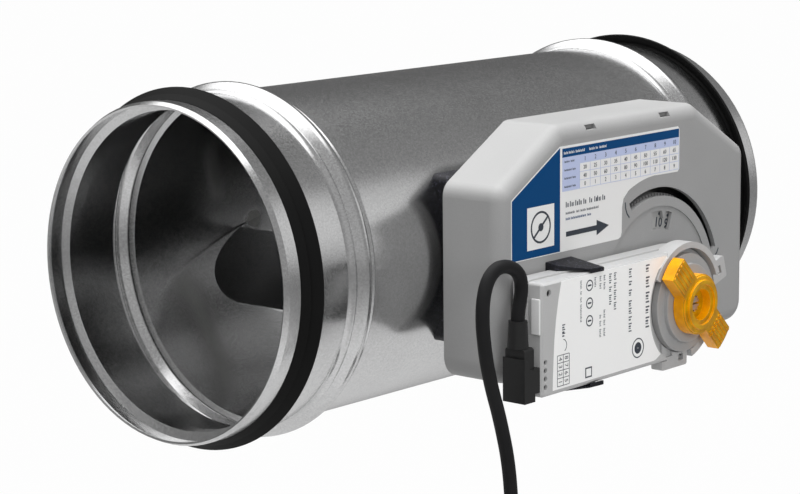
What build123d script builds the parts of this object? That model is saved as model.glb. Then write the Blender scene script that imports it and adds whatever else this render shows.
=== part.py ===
from build123d import *
import math
import os

# Round air volume controller. A sheet-metal duct section holds a tilting damper blade on a
# cross shaft. A moulded housing on the duct's side holds the spring mechanism and its scale,
# and an electric actuator on the housing turns the set-point spindle.
# Frame: +X along the duct with the air, -Y towards the control housing, +Z up.
# The origin is on the duct's axis, in the middle of the inlet rim's plain band.
# Stations are distances along +X from the inlet rim. All sizes are in millimetres.

# Duct section
spigot_r = 79.6            # outside radius of a spigot for a 160 mm duct
sheet = 1.0                # sheet thickness
tube_len = 378.3           # rim to rim
rim_len = 9.8              # plain band in front of the seal groove
taper_len = 2.6            # tapered lead-in at the rim
taper_drop = 1.3           # how far the lead-in comes down
groove_len = 9.7           # seal groove, over its sloping sides
groove_depth = 3.8
groove_slope = 2.0         # length of each sloping side of the groove
seat_len = 22.2            # plain seat between the seal groove and the stop bead
bead_len = 15.6            # stop bead, foot to foot
bead_shoulder = 2.5        # height of the bead's lower step
bead_height = 5.0          # height of the bead's crest
bead_step = 1.3            # length of the steep foot of each step
bead_ledge = 1.7           # length of the lower step
bead_crest = 3.0           # length of the crest
bead_seam_w = 0.8          # fine seam round the middle of the crest
bead_seam_depth = 0.5

# Rubber seals
seal_gap = 0.05            # air between a seal and its groove
seal_front_lip = 2.4       # height of the first lip above the spigot
seal_rear_lip = 5.2        # height of the main lip above the spigot
seal_lip_rise = 1.6        # height of the lips' common root above the spigot
seal_lip_tip = 0.9         # thickness of the main lip's tip

# Damper
damper_station = 140.5     # cross shaft, from the inlet rim
blade_gap = 0.6            # air between the blade's edge and the duct
blade_t = 1.2
blade_tilt = 14.0          # degrees from the open position at rest
flap_bend = 7.5            # degrees, the leading flap's extra slope
flap_station = 12.0        # from the shaft's axis to the bend line
blade_nose_cut = 2.3       # from the round outline to the straight leading edge
shaft_r = 5.0
run_gap = 0.05             # radial clearance of a running fit
rivet_r = 2.0
rivet_head_r = 4.0
rivet_head_h = 1.3
rivet_spacing = 52.0
rivet_count = 3
bush_sleeve_r = 7.0
bush_flange_r = 10.0
bush_flange_t = 3.6
bush_inset = 0.25          # from the blade's edge to a bush's inner end
shaft_clip_r = 8.0
shaft_clip_t = 1.0
clip_notch_l = 1.6         # notches round the clip's hole
clip_notch_w = 1.2
clip_notches = 6
shaft_end_len = 1.5        # shaft beyond its retaining clip

# Control housing: left, right, bottom and top of the outline, seen from the front
housing_left = 101.0       # station of the left side
housing_right = 304.6      # station of the right side
housing_bottom = -54.5
housing_top = 63.0
chamfer_x = 46.0           # top corner cut, along X
chamfer_z = 26.5           # top corner cut, along Z
chamfer_corner_r = 8.0
bottom_corner_r = 11.0
housing_rise = 4.4         # from the duct's side to the housing's back
housing_wall = 2.5
housing_edge_r = 7.0       # rounding of the front edge
fit_gap = 0.2              # between a lid and the wall around it
base_t = 3.0

# Saddle between the duct and the housing
saddle_left = 110.0        # station
saddle_right = 296.0       # station
saddle_half = 40.0         # half height
saddle_corner_r = 4.0
saddle_bore_gap = 0.4      # around a bush's flange

# Screws that hold the base and the saddle on the duct
screw_r = 1.9
screw_head_r = 3.8
screw_head_h = 2.2
screw_tip = 2.5            # how far a screw reaches inside the duct
screw_slot_w = 1.0         # drive slots in screw and spindle ends
screw_left = 117.0         # station
screw_right = 286.0        # station
screw_z = 27.0

# Set-point spindle and its scale
spindle_station = 224.7
spindle_z = -31.0
spindle_r = 4.0
spindle_boss_r = 9.0
spindle_boss_h = 6.0
spindle_floor = 1.0        # base left under the spindle and the rocker's pin
spindle_inset = 5.5        # from the knob's front to the spindle's end
spindle_hole_gap = 1.0     # around the spindle in the housing's front
slot_w = 4.5               # arc slot over the dial's teeth
slot_rise = 0.4            # from the teeth's feet to the slot's inner edge
slot_start_angle = 20.0    # degrees, seen from the front, counter-clockwise from +X
slot_end_angle = 115.0
window_inner_gap = 4.5     # from the scale's inner edge
window_outer_gap = 2.5     # from the scale's outer edge
window_start_angle = 71.0
window_end_angle = 94.0
pointer_angle = 80.4
pointer_len = 4.0
pointer_half_angle = 2.2   # degrees, half the pointer's foot
dial_recess_depth = 0.8    # shallow round panel round the window
dial_recess_bottom = 12.0  # the panel ends this far above the housing's bottom
snap_slot_w = 8.0
snap_slot_h = 2.4
snap_slot_z = 59.8
snap_left = 171.0          # station
snap_right = 232.0         # station
snap_hook_gap = 0.3
snap_hook_t = 2.0
snap_nose = 4.0            # how far the hooks reach into their slots

# Toothed dial and scale plate
dial_rim_gap = 0.6         # between the scale plate and the toothed rim
dial_rim_w = 4.0           # toothed rim, without its teeth
tooth_h = 1.6
dial_depth = 6.0
dial_web_t = 2.0
dial_hub_r = 11.0
dial_rib_t = 1.5
dial_rim_start_angle = 40.0# degrees
dial_rim_end_angle = 113.5
tooth_angle = 2.8125       # degrees
tooth_foot = 1.6           # width of a tooth at its foot
tooth_top = 0.7            # width of a tooth at its tip
scale_inner_r = 30.0
scale_outer_r = 46.0
scale_t = 1.6
scale_start_angle = -14.0
scale_end_angle = 97.0
front_gap = 0.5            # between the dial and the front wall

# Cam, rocker, tension spring and damper lever
setpoint_low_angle = -7.0  # degrees from rest to the highest setting
setpoint_high_angle = 88.0 # degrees from rest to the lowest setting
rocker_swing_angle = 8.0   # degrees of the rocker over the whole setting range
cam_t = 5.0
cam_dial_gap = 1.0         # between the cam and the dial
cam_steps = 12             # points of the cam's working edge
cam_hub_r = 11.0
roller_r = 4.0
roller_pin_r = 2.0
roller_gap = 0.35          # air between the roller and the cam
roller_distance = 24.0     # from the spindle to the roller at rest
roller_angle = 180.0       # degrees, seen from the spindle
rocker_station = 185.0
rocker_z = 30.0
rocker_t = 3.0
rocker_boss_r = 8.0
rocker_tip_r = 5.0
rocker_spring_gap = 0.7
rocker_side_gap = 0.3      # between the rocker and its post or its pin's head
roller_washer_t = 1.5      # between the rocker and the roller
pin_head_t = 1.5
rocker_pin_r = 3.0
rocker_post_r = 6.5
spring_station = 120.5
spring_top_z = 33.0
spring_bottom_z = -1.5
spring_r = 3.0             # outside radius of the coils
wire_r = 0.55
spring_turns = 9
hook_r = 2.6               # radius of the end hooks' centre line
hook_pin_r = 1.6
lever_t = 3.0
lever_back_gap = 1.0       # between the base and the lever
lever_hub_r = 9.5
lever_tip_r = 4.0
lever_spring_gap = 0.8

# Actuator
actuator_left = 107.9      # station of the flat end
actuator_half = 27.5       # half height, and radius of the round end
actuator_gap = 2.0         # from the housing's front to the actuator, for the holder
actuator_depth = 16.0      # back to label face
actuator_split = 8.0       # depth of the rear shell
actuator_lip = 0.8         # how far the front shell is set in
actuator_wall = 2.0
actuator_corner_r = 2.4
actuator_edge = 1.2        # bevel round the label face
round_end_drop = 4.0       # the round end's face lies this far behind the label face
round_end_clear_r = 30.5   # the label plate ends in an arc of this radius
collar_inner_r = 27.0
collar_t = 3.0
collar_start_angle = 22.0  # degrees
collar_end_angle = 150.0
collar_rise = 0.8          # in front of the label face
guard_inner_r = 26.2       # second, lower collar on the round end
guard_start_angle = -74.0
guard_end_angle = -40.0
guard_drop = 2.0           # behind the label face
hub_r = 24.5
hub_step_r = 19.5
hub_step = 2.4             # height of the hub's inner step
hub_gap = 0.3              # between the hub and the actuator's face
hub_face = 2.2             # hub's front in front of the label face
stop_angle = 17.0          # degrees, upper end stop
stop_foot_r = 30.4         # where the upper stop starts
stop_len = 11.5
stop_w = 11.5
stop_t = 5.0
stop_corner_r = 1.2
stop_hole_l = 3.6
stop_hole_w = 4.4
lower_stop_left = 208.0    # station
lower_stop_right = 229.6   # station
lower_stop_top = -47.5
lower_stop_bottom = -63.2
lower_stop_rise = 1.2      # in front of the round end's face
lower_pocket_depth = 3.0
lower_pockets = (          # station, height, length and width of each pocket
    (214.5, -55.0, 5.0, 3.8),
    (224.4, -58.6, 4.2, 3.4),
)
clip_rise = 10.4           # from the actuator's back to the end clip
clip_w = 4.8
clip_t = 1.0
clip_len = 16.6
clip_z = -19.9
button_r = 1.7             # hole over the release button
button_station = 113.8
button_z = -9.4
lamp_r = 1.3               # holes over the four signal lamps
lamp_station = 111.3
lamp_z = -47.1             # middle of the row
lamp_pitch = 3.9
lamp_count = 4
lamp_depth = 1.4

# Knob on the spindle
knob_ring_r = 15.0
knob_hole_r = 7.7
knob_depth = 6.5
knob_lip = 1.3             # raised ring on the knob's front
knob_lip_r = 12.2
knob_lip_inner_r = 10.0    # the ring's front steps down inside this radius
knob_edge = 0.8            # step round the ring's front edge
knob_gap = 0.3             # between the hub and the knob
knob_wing_w = 13.5
knob_wing_r = 29.3
knob_wing_angle = 135.0    # degrees, seen from the front
knob_web_t = 2.0           # web between the ring and the spindle
knob_rib_w = 1.3           # ribs along the wings' fronts
knob_rib_h = 0.6
knob_rib_pitch = 2.5
knob_rib_end = 1.0         # from the ribs to the wing's tip
knob_mark_r = 17.5         # cross groove on one wing, from the spindle
knob_mark_w = 0.6
spline_count = 10
spline_depth = 0.7
spline_w = 1.3

# Holder that ties the actuator to the housing
holder_left = 134.4        # station
holder_right = 154.4       # station
holder_arm_t = 3.4         # at the housing
holder_nose_t = 0.5        # at the hooks' noses
holder_hook_t = 1.3
holder_hook_len = 1.5
holder_cut_len = 10.6      # slanted left corner of each hook, along X
holder_cut_depth = 11.5    # and from the label face towards the housing

# Plug and supply cord
plug_out = 11.0            # how far the plug stands out of the actuator's end
plug_w = 11.2
plug_body_len = 7.0        # full-height part of the plug, along X
plug_top_z = -33.1
plug_bottom_z = -57.5
plug_front_inset = 0.9     # behind the label face
plug_corner_r = 1.5
plug_cover_t = 0.8
plug_tongue_z = -54.6      # underside of the part that enters the actuator
plug_cover_gap = 0.7       # from the cover to the actuator's end
plug_wave_high = 20.0      # height of the cover's wave at the end face
plug_wave_low = 14.4       # and beside the actuator
plug_wave_len = 5.5        # from the end face to the foot of the wave
sleeve_r = 4.9
sleeve_top_r = 4.4
sleeve_len = 12.6
sleeve_inset = 2.3         # from the plug's end face
cord_r = 3.2
coil_turn_r = 34.0
coil_bundle_r = 7.6        # four turns beside and on each other
coil_z = -148.0            # height of the coil's centre
tie_w = 5.0
tie_t = 1.2
tie_gap = 0.3
lead_r = 0.9
lead_len = 18.0
lead_pitch = 2.0
lead_count = 3
ferrule_r = 1.15
ferrule_len = 7.0
tail_len = 32.0            # from the coil's side down to the cord's end

cord_loop_w = 26.0         # across the loop over the sleeve
cord_loop_z = 5.3          # height of the corners above the loop
cord_loop_out = 1.3        # how far the loop's far side stands in front
cord_fall = (              # where the cord hangs: beside the sleeve, in front of it, height
    (-24.0, 1.3, -34.0),
    (-14.2, 1.0, -62.0),
    (-8.0, 0.6, -88.0),
    (-5.0, 0.0, -116.0),
)

inlet_x = -(taper_len + rim_len) / 2


def at(station):
    """X of a station."""
    return inlet_x + station


def front(distance):
    """Sketch plane that faces the front, this far from the duct's axis. Local y is +Z."""
    return Plane.XZ.offset(distance)


def polar(radius, angle, centre=(0, 0)):
    """Point at a radius and an angle in degrees about a centre."""
    a = math.radians(angle)
    return (centre[0] + radius * math.cos(a), centre[1] + radius * math.sin(a))


def ring_sector(centre, inner, outer, start, end):
    """Face between two radii and two angles in degrees, about a centre."""
    with BuildSketch(mode=Mode.PRIVATE) as sector:
        with BuildLine():
            far = CenterArc(centre, outer, start, end - start)
            near = CenterArc(centre, inner, start, end - start)
            Line(far @ 0, near @ 0)
            Line(far @ 1, near @ 1)
        make_face()
    return sector.sketch


def right_of(points, distance):
    """Open polyline moved to its right-hand side, with mitred corners."""
    moved = []
    for i, point in enumerate(points):
        before = points[max(i - 1, 0)]
        after = points[min(i + 1, len(points) - 1)]
        into = math.atan2(point[1] - before[1], point[0] - before[0])
        out = math.atan2(after[1] - point[1], after[0] - point[0])
        if i == 0:
            into = out
        if i == len(points) - 1:
            out = into
        turn = (out - into) / 2
        reach = distance / math.cos(turn)
        moved.append((point[0] + reach * math.sin(into + turn),
                      point[1] - reach * math.cos(into + turn)))
    return moved


def finish(builder, name):
    """Label a finished piece and write its file."""
    builder.part.label = name
    export_step(builder.part, "parts/" + name + ".step")


os.makedirs("parts", exist_ok=True)

groove_start = rim_len
groove_end = rim_len + groove_len
bead_start = groove_end + seat_len
bead_mid = bead_start + bead_len / 2
inner_r = spigot_r - sheet
blade_r = inner_r - blade_gap
blade_nose = blade_r - blade_nose_cut
housing_back = spigot_r + housing_rise
damper_x = at(damper_station)
spindle_x = at(spindle_station)
spindle_at = (spindle_x, spindle_z)
base_inner = housing_back + base_t
lever_back = base_inner + lever_back_gap
lever_front = lever_back + lever_t
spring_y = lever_front + lever_spring_gap + spring_r
rocker_back = spring_y + spring_r + rocker_spring_gap
rocker_front = rocker_back + rocker_t
cam_back = rocker_front + roller_washer_t
cam_front = cam_back + cam_t
dial_back = cam_front + cam_dial_gap
dial_front = dial_back + dial_depth
housing_front = dial_front + front_gap + housing_wall
housing_depth = housing_front - housing_back
front_inner = housing_front - housing_wall
dial_rim_inner_r = scale_outer_r + dial_rim_gap
dial_rim_root_r = dial_rim_inner_r + dial_rim_w
dial_rim_tip_r = dial_rim_root_r + tooth_h
slot_inner_r = dial_rim_root_r + slot_rise
slot_outer_r = slot_inner_r + slot_w
window_inner_r = scale_inner_r + window_inner_gap
window_outer_r = scale_outer_r - window_outer_gap
screw_places = [(at(s), side * screw_z) for s in (screw_left, screw_right) for side in (-1, 1)]

# Duct tube: one end's outline as station and height above the spigot, then its mirror image
bead_half = [
    (bead_start, 0),
    (bead_start + bead_step, bead_shoulder),
    (bead_start + bead_step + bead_ledge, bead_shoulder),
    (bead_mid - bead_crest / 2, bead_height),
    (bead_mid - bead_seam_w / 2, bead_height),
]
bead_seam = [(bead_mid, bead_height - bead_seam_depth)]
bead_outline = bead_half + bead_seam + [(2 * bead_mid - s, h) for s, h in reversed(bead_half)]
end_outline = [
    (0, -taper_drop),
    (taper_len, 0),
    (groove_start, 0),
    (groove_start + groove_slope, -groove_depth),
    (groove_end - groove_slope, -groove_depth),
    (groove_end, 0),
] + bead_outline
tube_outline = end_outline + [(tube_len - s, h) for s, h in reversed(end_outline)]
tube_outside = [(at(s), spigot_r + h) for s, h in tube_outline]

with BuildPart() as duct_tube:
    with BuildSketch(Plane.XY):
        with BuildLine():
            Polyline(*tube_outside, *reversed(right_of(tube_outside, sheet)), close=True)
        make_face()
    revolve(axis=Axis.X)
    with BuildSketch(Plane.XZ):
        with Locations((damper_x, 0)):
            Circle(bush_sleeve_r + run_gap)
    extrude(amount=2 * spigot_r, both=True, mode=Mode.SUBTRACT)
    with BuildSketch(Plane.XZ):
        with Locations(*screw_places):
            Circle(screw_r + run_gap)
    extrude(amount=2 * spigot_r, mode=Mode.SUBTRACT)
finish(duct_tube, "duct_tube")

# Rubber seals: a foot in the groove and two lips that lean away from the rim
seal_foot_r = spigot_r - groove_depth + seal_gap
seal_root_r = spigot_r + seal_lip_rise
seal_front = groove_start + seal_gap
seal_rear = groove_end - seal_gap
seal_first_tip = seal_front + groove_slope + seal_lip_rise
seal_outline = [
    (seal_front + groove_slope, seal_foot_r),
    (seal_front, spigot_r + seal_gap),
    (seal_first_tip, spigot_r + seal_front_lip),
    (seal_first_tip + seal_lip_tip, seal_root_r),
    (seal_rear - seal_lip_tip, spigot_r + seal_rear_lip),
    (seal_rear, spigot_r + seal_rear_lip - seal_lip_tip / 2),
    (seal_rear - seal_lip_rise, seal_root_r - seal_lip_tip),
    (seal_rear, spigot_r + seal_gap),
    (seal_rear - groove_slope, seal_foot_r),
]
with BuildPart() as inlet_seal:
    with BuildSketch(Plane.XY):
        with BuildLine():
            Polyline(*[(at(s), r) for s, r in seal_outline], close=True)
        make_face()
    revolve(axis=Axis.X)
finish(inlet_seal, "inlet_seal")

with BuildPart() as outlet_seal:
    with BuildSketch(Plane.XY):
        with BuildLine():
            Polyline(*[(at(tube_len - s), r) for s, r in seal_outline], close=True)
        make_face()
    revolve(axis=Axis.X)
finish(outlet_seal, "outlet_seal")

# Damper blade: a round sheet with a sloping leading flap, kept inside one sphere so that it
# clears the duct at every angle. Its rivets hold it on the flat of the cross shaft.
tilt = math.radians(blade_tilt)
bend = math.radians(flap_bend)
blade_plane = Plane(
    origin=(damper_x, 0, 0),
    x_dir=(math.cos(tilt), 0, math.sin(tilt)),
    z_dir=(-math.sin(tilt), 0, math.cos(tilt)),
)
side_plane = Plane(
    origin=(damper_x, 0, 0),
    x_dir=(math.cos(tilt), 0, math.sin(tilt)),
    z_dir=(0, -1, 0),
)
flap_len = blade_nose - flap_station
blade_middle = [
    (-flap_station - flap_len * math.cos(bend), -flap_len * math.sin(bend)),
    (-flap_station, 0),
    (blade_r + blade_t, 0),
]
with BuildPart() as damper_blade:
    with BuildSketch(side_plane):
        with BuildLine():
            upper = right_of(blade_middle, -blade_t / 2)
            lower = right_of(blade_middle, blade_t / 2)
            Polyline(*upper, *reversed(lower), close=True)
        make_face()
    extrude(amount=blade_r, both=True)
    with Locations((damper_x, 0, 0)):
        Sphere(blade_r, mode=Mode.INTERSECT)
    with BuildSketch(blade_plane):
        with GridLocations(1, rivet_spacing, 1, rivet_count):
            Circle(rivet_r + run_gap)
    extrude(amount=blade_t, both=True, mode=Mode.SUBTRACT)
finish(damper_blade, "damper_blade")

shaft_front = lever_front + lever_spring_gap
shaft_clip_y = spigot_r + bush_flange_t
shaft_rear = shaft_clip_y + shaft_clip_t + shaft_end_len
with BuildPart() as damper_shaft:
    with BuildSketch(front(-shaft_rear)):
        with Locations((damper_x, 0)):
            Circle(shaft_r)
    extrude(amount=shaft_rear + shaft_front)
    with BuildSketch(side_plane):
        with Locations((0, shaft_r - blade_t / 2)):
            Rectangle(2 * shaft_r, 2 * shaft_r)
    extrude(amount=blade_r + run_gap, both=True, mode=Mode.SUBTRACT)
    with BuildSketch(blade_plane):
        with GridLocations(1, rivet_spacing, 1, rivet_count):
            Circle(rivet_r + run_gap)
    extrude(amount=2 * shaft_r, both=True, mode=Mode.SUBTRACT)
finish(damper_shaft, "damper_shaft")

with BuildPart() as blade_rivets:
    with BuildSketch(blade_plane.offset(-shaft_r)):
        with GridLocations(1, rivet_spacing, 1, rivet_count):
            Circle(rivet_r)
    extrude(amount=shaft_r + blade_t / 2)
    with BuildSketch(blade_plane.offset(blade_t / 2)):
        with GridLocations(1, rivet_spacing, 1, rivet_count):
            Circle(rivet_head_r)
    extrude(amount=rivet_head_h, taper=25)
finish(blade_rivets, "blade_rivets")

# Shaft bushes: a flange shaped to the duct's outside, and a sleeve through its wall
bush_inner = blade_r + bush_inset
with BuildPart() as front_bush:
    with BuildSketch(front(spigot_r - bush_flange_r)):
        with Locations((damper_x, 0)):
            Circle(bush_flange_r)
    extrude(amount=bush_flange_t + bush_flange_r)
    with BuildSketch(Plane.YZ.offset(damper_x)):
        Circle(spigot_r + seal_gap)
    extrude(amount=2 * bush_flange_r, both=True, mode=Mode.SUBTRACT)
    with BuildSketch(front(bush_inner)):
        with Locations((damper_x, 0)):
            Circle(bush_sleeve_r)
    extrude(amount=spigot_r + bush_flange_t - bush_inner)
    with BuildSketch(front(bush_inner)):
        with Locations((damper_x, 0)):
            Circle(shaft_r + run_gap)
    extrude(amount=bush_flange_r, mode=Mode.SUBTRACT)
finish(front_bush, "front_shaft_bush")

with BuildPart() as rear_bush:
    mirror(front_bush.part, about=Plane.XZ)
finish(rear_bush, "rear_shaft_bush")

with BuildPart() as shaft_clip:
    with BuildSketch(front(-shaft_clip_y)):
        with Locations((damper_x, 0)):
            Circle(shaft_clip_r)
            Circle(shaft_r + run_gap, mode=Mode.SUBTRACT)
        with Locations((damper_x, 0)):
            with PolarLocations(shaft_r, clip_notches):
                Rectangle(clip_notch_l, clip_notch_w, mode=Mode.SUBTRACT)
    extrude(amount=-shaft_clip_t)
finish(shaft_clip, "shaft_clip")

# Housing outline as seen from the front, with cut top corners
left_x = at(housing_left)
right_x = at(housing_right)
with BuildSketch() as housing_outline:
    with BuildLine():
        Polyline(
            (left_x, housing_bottom),
            (right_x, housing_bottom),
            (right_x, housing_top - chamfer_z),
            (right_x - chamfer_x, housing_top),
            (left_x + chamfer_x, housing_top),
            (left_x, housing_top - chamfer_z),
            close=True,
        )
    make_face()
    fillet(vertices().sort_by(Axis.Y)[:2], bottom_corner_r)
    fillet(vertices().sort_by(Axis.Y)[4:], chamfer_corner_r)
housing_face = housing_outline.sketch

# Saddle: a moulded block shaped to the duct, under the housing's base
saddle_width = saddle_right - saddle_left
saddle_mid = at((saddle_left + saddle_right) / 2)
seat_r = spigot_r + seal_gap
with BuildPart() as mounting_saddle:
    with BuildSketch(front(housing_back)):
        with Locations((saddle_mid, 0)):
            RectangleRounded(saddle_width, 2 * saddle_half, saddle_corner_r)
    extrude(amount=-(housing_back - math.sqrt(seat_r**2 - saddle_half**2)))
    with BuildSketch(Plane.YZ.offset(saddle_mid)):
        Circle(seat_r)
    extrude(amount=saddle_width, both=True, mode=Mode.SUBTRACT)
    with BuildSketch(front(housing_back)):
        with Locations((damper_x, 0)):
            Circle(bush_flange_r + saddle_bore_gap)
        with Locations(*screw_places):
            Circle(screw_r + run_gap)
    extrude(amount=-housing_back, mode=Mode.SUBTRACT)
finish(mounting_saddle, "mounting_saddle")

# Housing base: a plate inside the cover's skirt, with the posts that carry the mechanism
spindle_seat = housing_back + spindle_floor
rocker_at = (at(rocker_station), rocker_z)
arm_top = housing_top - housing_wall - snap_hook_gap
snap_places = [(at(s), snap_slot_z) for s in (snap_left, snap_right)]
arm_places = [(at(s), arm_top - snap_hook_t / 2) for s in (snap_left, snap_right)]
hook_w = snap_slot_w - 2 * snap_hook_gap
with BuildPart() as housing_base:
    with BuildSketch(front(housing_back)):
        add(housing_face)
        offset(amount=-(housing_wall + fit_gap))
    extrude(amount=base_t)
    with BuildSketch(front(base_inner)):
        with Locations(spindle_at):
            Circle(spindle_boss_r)
    extrude(amount=spindle_boss_h)
    with BuildSketch(front(base_inner)):
        with Locations(rocker_at):
            Circle(rocker_post_r)
    extrude(amount=rocker_back - rocker_side_gap - base_inner)
    with BuildSketch(front(base_inner)):
        with Locations(*arm_places):
            Rectangle(hook_w, snap_hook_t)
    extrude(amount=housing_front - housing_edge_r - base_inner)
    with BuildSketch(front(housing_front - housing_edge_r)):
        with Locations(*snap_places):
            Rectangle(hook_w, snap_slot_h - 2 * snap_hook_gap)
    extrude(amount=snap_nose)
    with BuildSketch(front(spindle_seat)):
        with Locations(spindle_at):
            Circle(spindle_r + run_gap)
        with Locations(rocker_at):
            Circle(rocker_pin_r + run_gap)
    extrude(amount=housing_depth, mode=Mode.SUBTRACT)
    with BuildSketch(front(housing_back)):
        with Locations((damper_x, 0)):
            Circle(shaft_r + spindle_hole_gap)
        with Locations(*screw_places):
            Circle(screw_r + run_gap)
    extrude(amount=base_t, mode=Mode.SUBTRACT)
finish(housing_base, "housing_base")

with BuildPart() as base_screws:
    with BuildSketch(front(base_inner)):
        with Locations(*screw_places):
            Circle(screw_head_r)
    extrude(amount=screw_head_h, taper=20)
    with BuildSketch(front(base_inner)):
        with Locations(*screw_places):
            Circle(screw_r)
    extrude(amount=-(base_inner - math.sqrt(inner_r**2 - screw_z**2) + screw_tip))
    with BuildSketch(front(base_inner + screw_head_h)):
        with Locations(*screw_places):
            Rectangle(screw_head_r, screw_slot_w)
            Rectangle(screw_slot_w, screw_head_r)
    extrude(amount=-screw_slot_w, mode=Mode.SUBTRACT)
finish(base_screws, "base_screws")

# Housing cover: a moulded shell with a rounded front edge
with BuildPart() as cover_core:
    with BuildSketch(front(housing_back)):
        add(housing_face)
        offset(amount=-housing_wall)
    extrude(amount=housing_depth - housing_wall)
    fillet(faces().sort_by(Axis.Y)[0].edges(), housing_edge_r - housing_wall)

with BuildPart() as housing_cover:
    with BuildSketch(front(housing_back)):
        add(housing_face)
    extrude(amount=housing_depth)
    fillet(faces().sort_by(Axis.Y)[0].edges(), housing_edge_r)
    add(cover_core.part, mode=Mode.SUBTRACT)
    with BuildSketch(front(housing_front)):
        with BuildLine():
            CenterArc(spindle_at, scale_outer_r, 0, 360)
        make_face()
        with Locations((spindle_x, housing_bottom + dial_recess_bottom - scale_outer_r)):
            Rectangle(2 * scale_outer_r, 2 * scale_outer_r, mode=Mode.SUBTRACT)
    extrude(amount=-dial_recess_depth, mode=Mode.SUBTRACT)
    with BuildSketch(front(housing_front)):
        add(ring_sector(spindle_at, slot_inner_r, slot_outer_r, slot_start_angle, slot_end_angle))
        add(ring_sector(spindle_at, window_inner_r, window_outer_r, window_start_angle, window_end_angle))
        with Locations(spindle_at):
            Circle(spindle_r + spindle_hole_gap)
    extrude(amount=-(housing_wall + run_gap), mode=Mode.SUBTRACT)
    with BuildSketch(front(housing_front)):
        with Locations(*snap_places):
            Rectangle(snap_slot_w, snap_slot_h)
    extrude(amount=-housing_edge_r, mode=Mode.SUBTRACT)
    with BuildSketch(front(front_inner)):
        with BuildLine():
            Polyline(
                polar(window_outer_r - pointer_len, pointer_angle, spindle_at),
                polar(window_outer_r + run_gap, pointer_angle + pointer_half_angle, spindle_at),
                polar(window_outer_r + run_gap, pointer_angle - pointer_half_angle, spindle_at),
                close=True,
            )
        make_face()
    extrude(amount=housing_wall - dial_recess_depth)
finish(housing_cover, "housing_cover")

# Set-point spindle, with a splined front end for the knob
label_face = housing_front + actuator_gap + actuator_depth
round_face = label_face - round_end_drop
hub_back = round_face + hub_gap
hub_front = label_face + hub_face
knob_back = hub_front + knob_gap
knob_front = knob_back + knob_depth + knob_lip
spindle_front = knob_front - spindle_inset
with BuildPart() as setpoint_spindle:
    with BuildSketch(front(spindle_seat + run_gap)):
        with Locations(spindle_at):
            Circle(spindle_r)
    extrude(amount=knob_back - spindle_seat - run_gap)
    with BuildSketch(front(knob_back)):
        with Locations(spindle_at):
            Circle(spindle_r)
            with PolarLocations(spindle_r, spline_count):
                Rectangle(2 * spline_depth, spline_w, mode=Mode.SUBTRACT)
    extrude(amount=spindle_front - knob_back)
    with BuildSketch(front(spindle_front)):
        with Locations(spindle_at):
            Rectangle(2 * spindle_r, screw_slot_w)
    extrude(amount=-2 * screw_slot_w, mode=Mode.SUBTRACT)
finish(setpoint_spindle, "setpoint_spindle")



def scale_band(inner, outer):
    """Sector that spans the scale's angles."""
    return ring_sector(spindle_at, inner, outer, scale_start_angle, scale_end_angle)


def rim_band(inner, outer):
    """Sector that spans the toothed rim's angles."""
    return ring_sector(spindle_at, inner, outer, dial_rim_start_angle, dial_rim_end_angle)


# Toothed dial: a web with two ribs that carry the scale plate, and a toothed rim
scale_back = dial_front - scale_t
tooth_count = round((dial_rim_end_angle - dial_rim_start_angle) / tooth_angle)
first_tooth = dial_rim_start_angle + tooth_angle / 2
with BuildPart() as toothed_dial:
    with BuildSketch(front(dial_back)):
        with Locations(spindle_at):
            Circle(dial_hub_r)
        add(ring_sector(
            spindle_at, dial_hub_r - run_gap, scale_outer_r, scale_start_angle, dial_rim_end_angle
        ))
        with Locations(spindle_at):
            Circle(spindle_r, mode=Mode.SUBTRACT)
    extrude(amount=dial_web_t)
    with BuildSketch(front(dial_back)):
        add(scale_band(scale_inner_r, scale_inner_r + dial_rib_t))
        add(scale_band(scale_outer_r - dial_rib_t, scale_outer_r))
    extrude(amount=dial_depth - scale_t)
    with BuildSketch(front(dial_back)):
        add(rim_band(dial_rim_inner_r, dial_rim_root_r))
        add(rim_band(scale_outer_r - dial_rib_t, dial_rim_inner_r))
    extrude(amount=dial_web_t)
    with BuildSketch(front(dial_back)):
        add(rim_band(dial_rim_inner_r, dial_rim_root_r))
    extrude(amount=dial_depth)
    with BuildSketch(front(dial_back)):
        for i in range(tooth_count):
            middle = first_tooth + i * tooth_angle
            foot = math.degrees(tooth_foot / 2 / dial_rim_root_r)
            top = math.degrees(tooth_top / 2 / dial_rim_tip_r)
            with BuildLine():
                Polyline(
                    polar(dial_rim_root_r - run_gap, middle - foot, spindle_at),
                    polar(dial_rim_tip_r, middle - top, spindle_at),
                    polar(dial_rim_tip_r, middle + top, spindle_at),
                    polar(dial_rim_root_r - run_gap, middle + foot, spindle_at),
                    close=True,
                )
            make_face()
    extrude(amount=dial_depth)
finish(toothed_dial, "toothed_dial")

with BuildPart() as scale_plate:
    with BuildSketch(front(scale_back)):
        add(scale_band(scale_inner_r, scale_outer_r))
    extrude(amount=scale_t)
finish(scale_plate, "scale_plate")


def turned(point, angle, centre):
    """A point turned counter-clockwise about a centre, in degrees."""
    a = math.radians(angle)
    dx = point[0] - centre[0]
    dz = point[1] - centre[1]
    return (
        centre[0] + dx * math.cos(a) - dz * math.sin(a),
        centre[1] + dx * math.sin(a) + dz * math.cos(a),
    )


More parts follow.
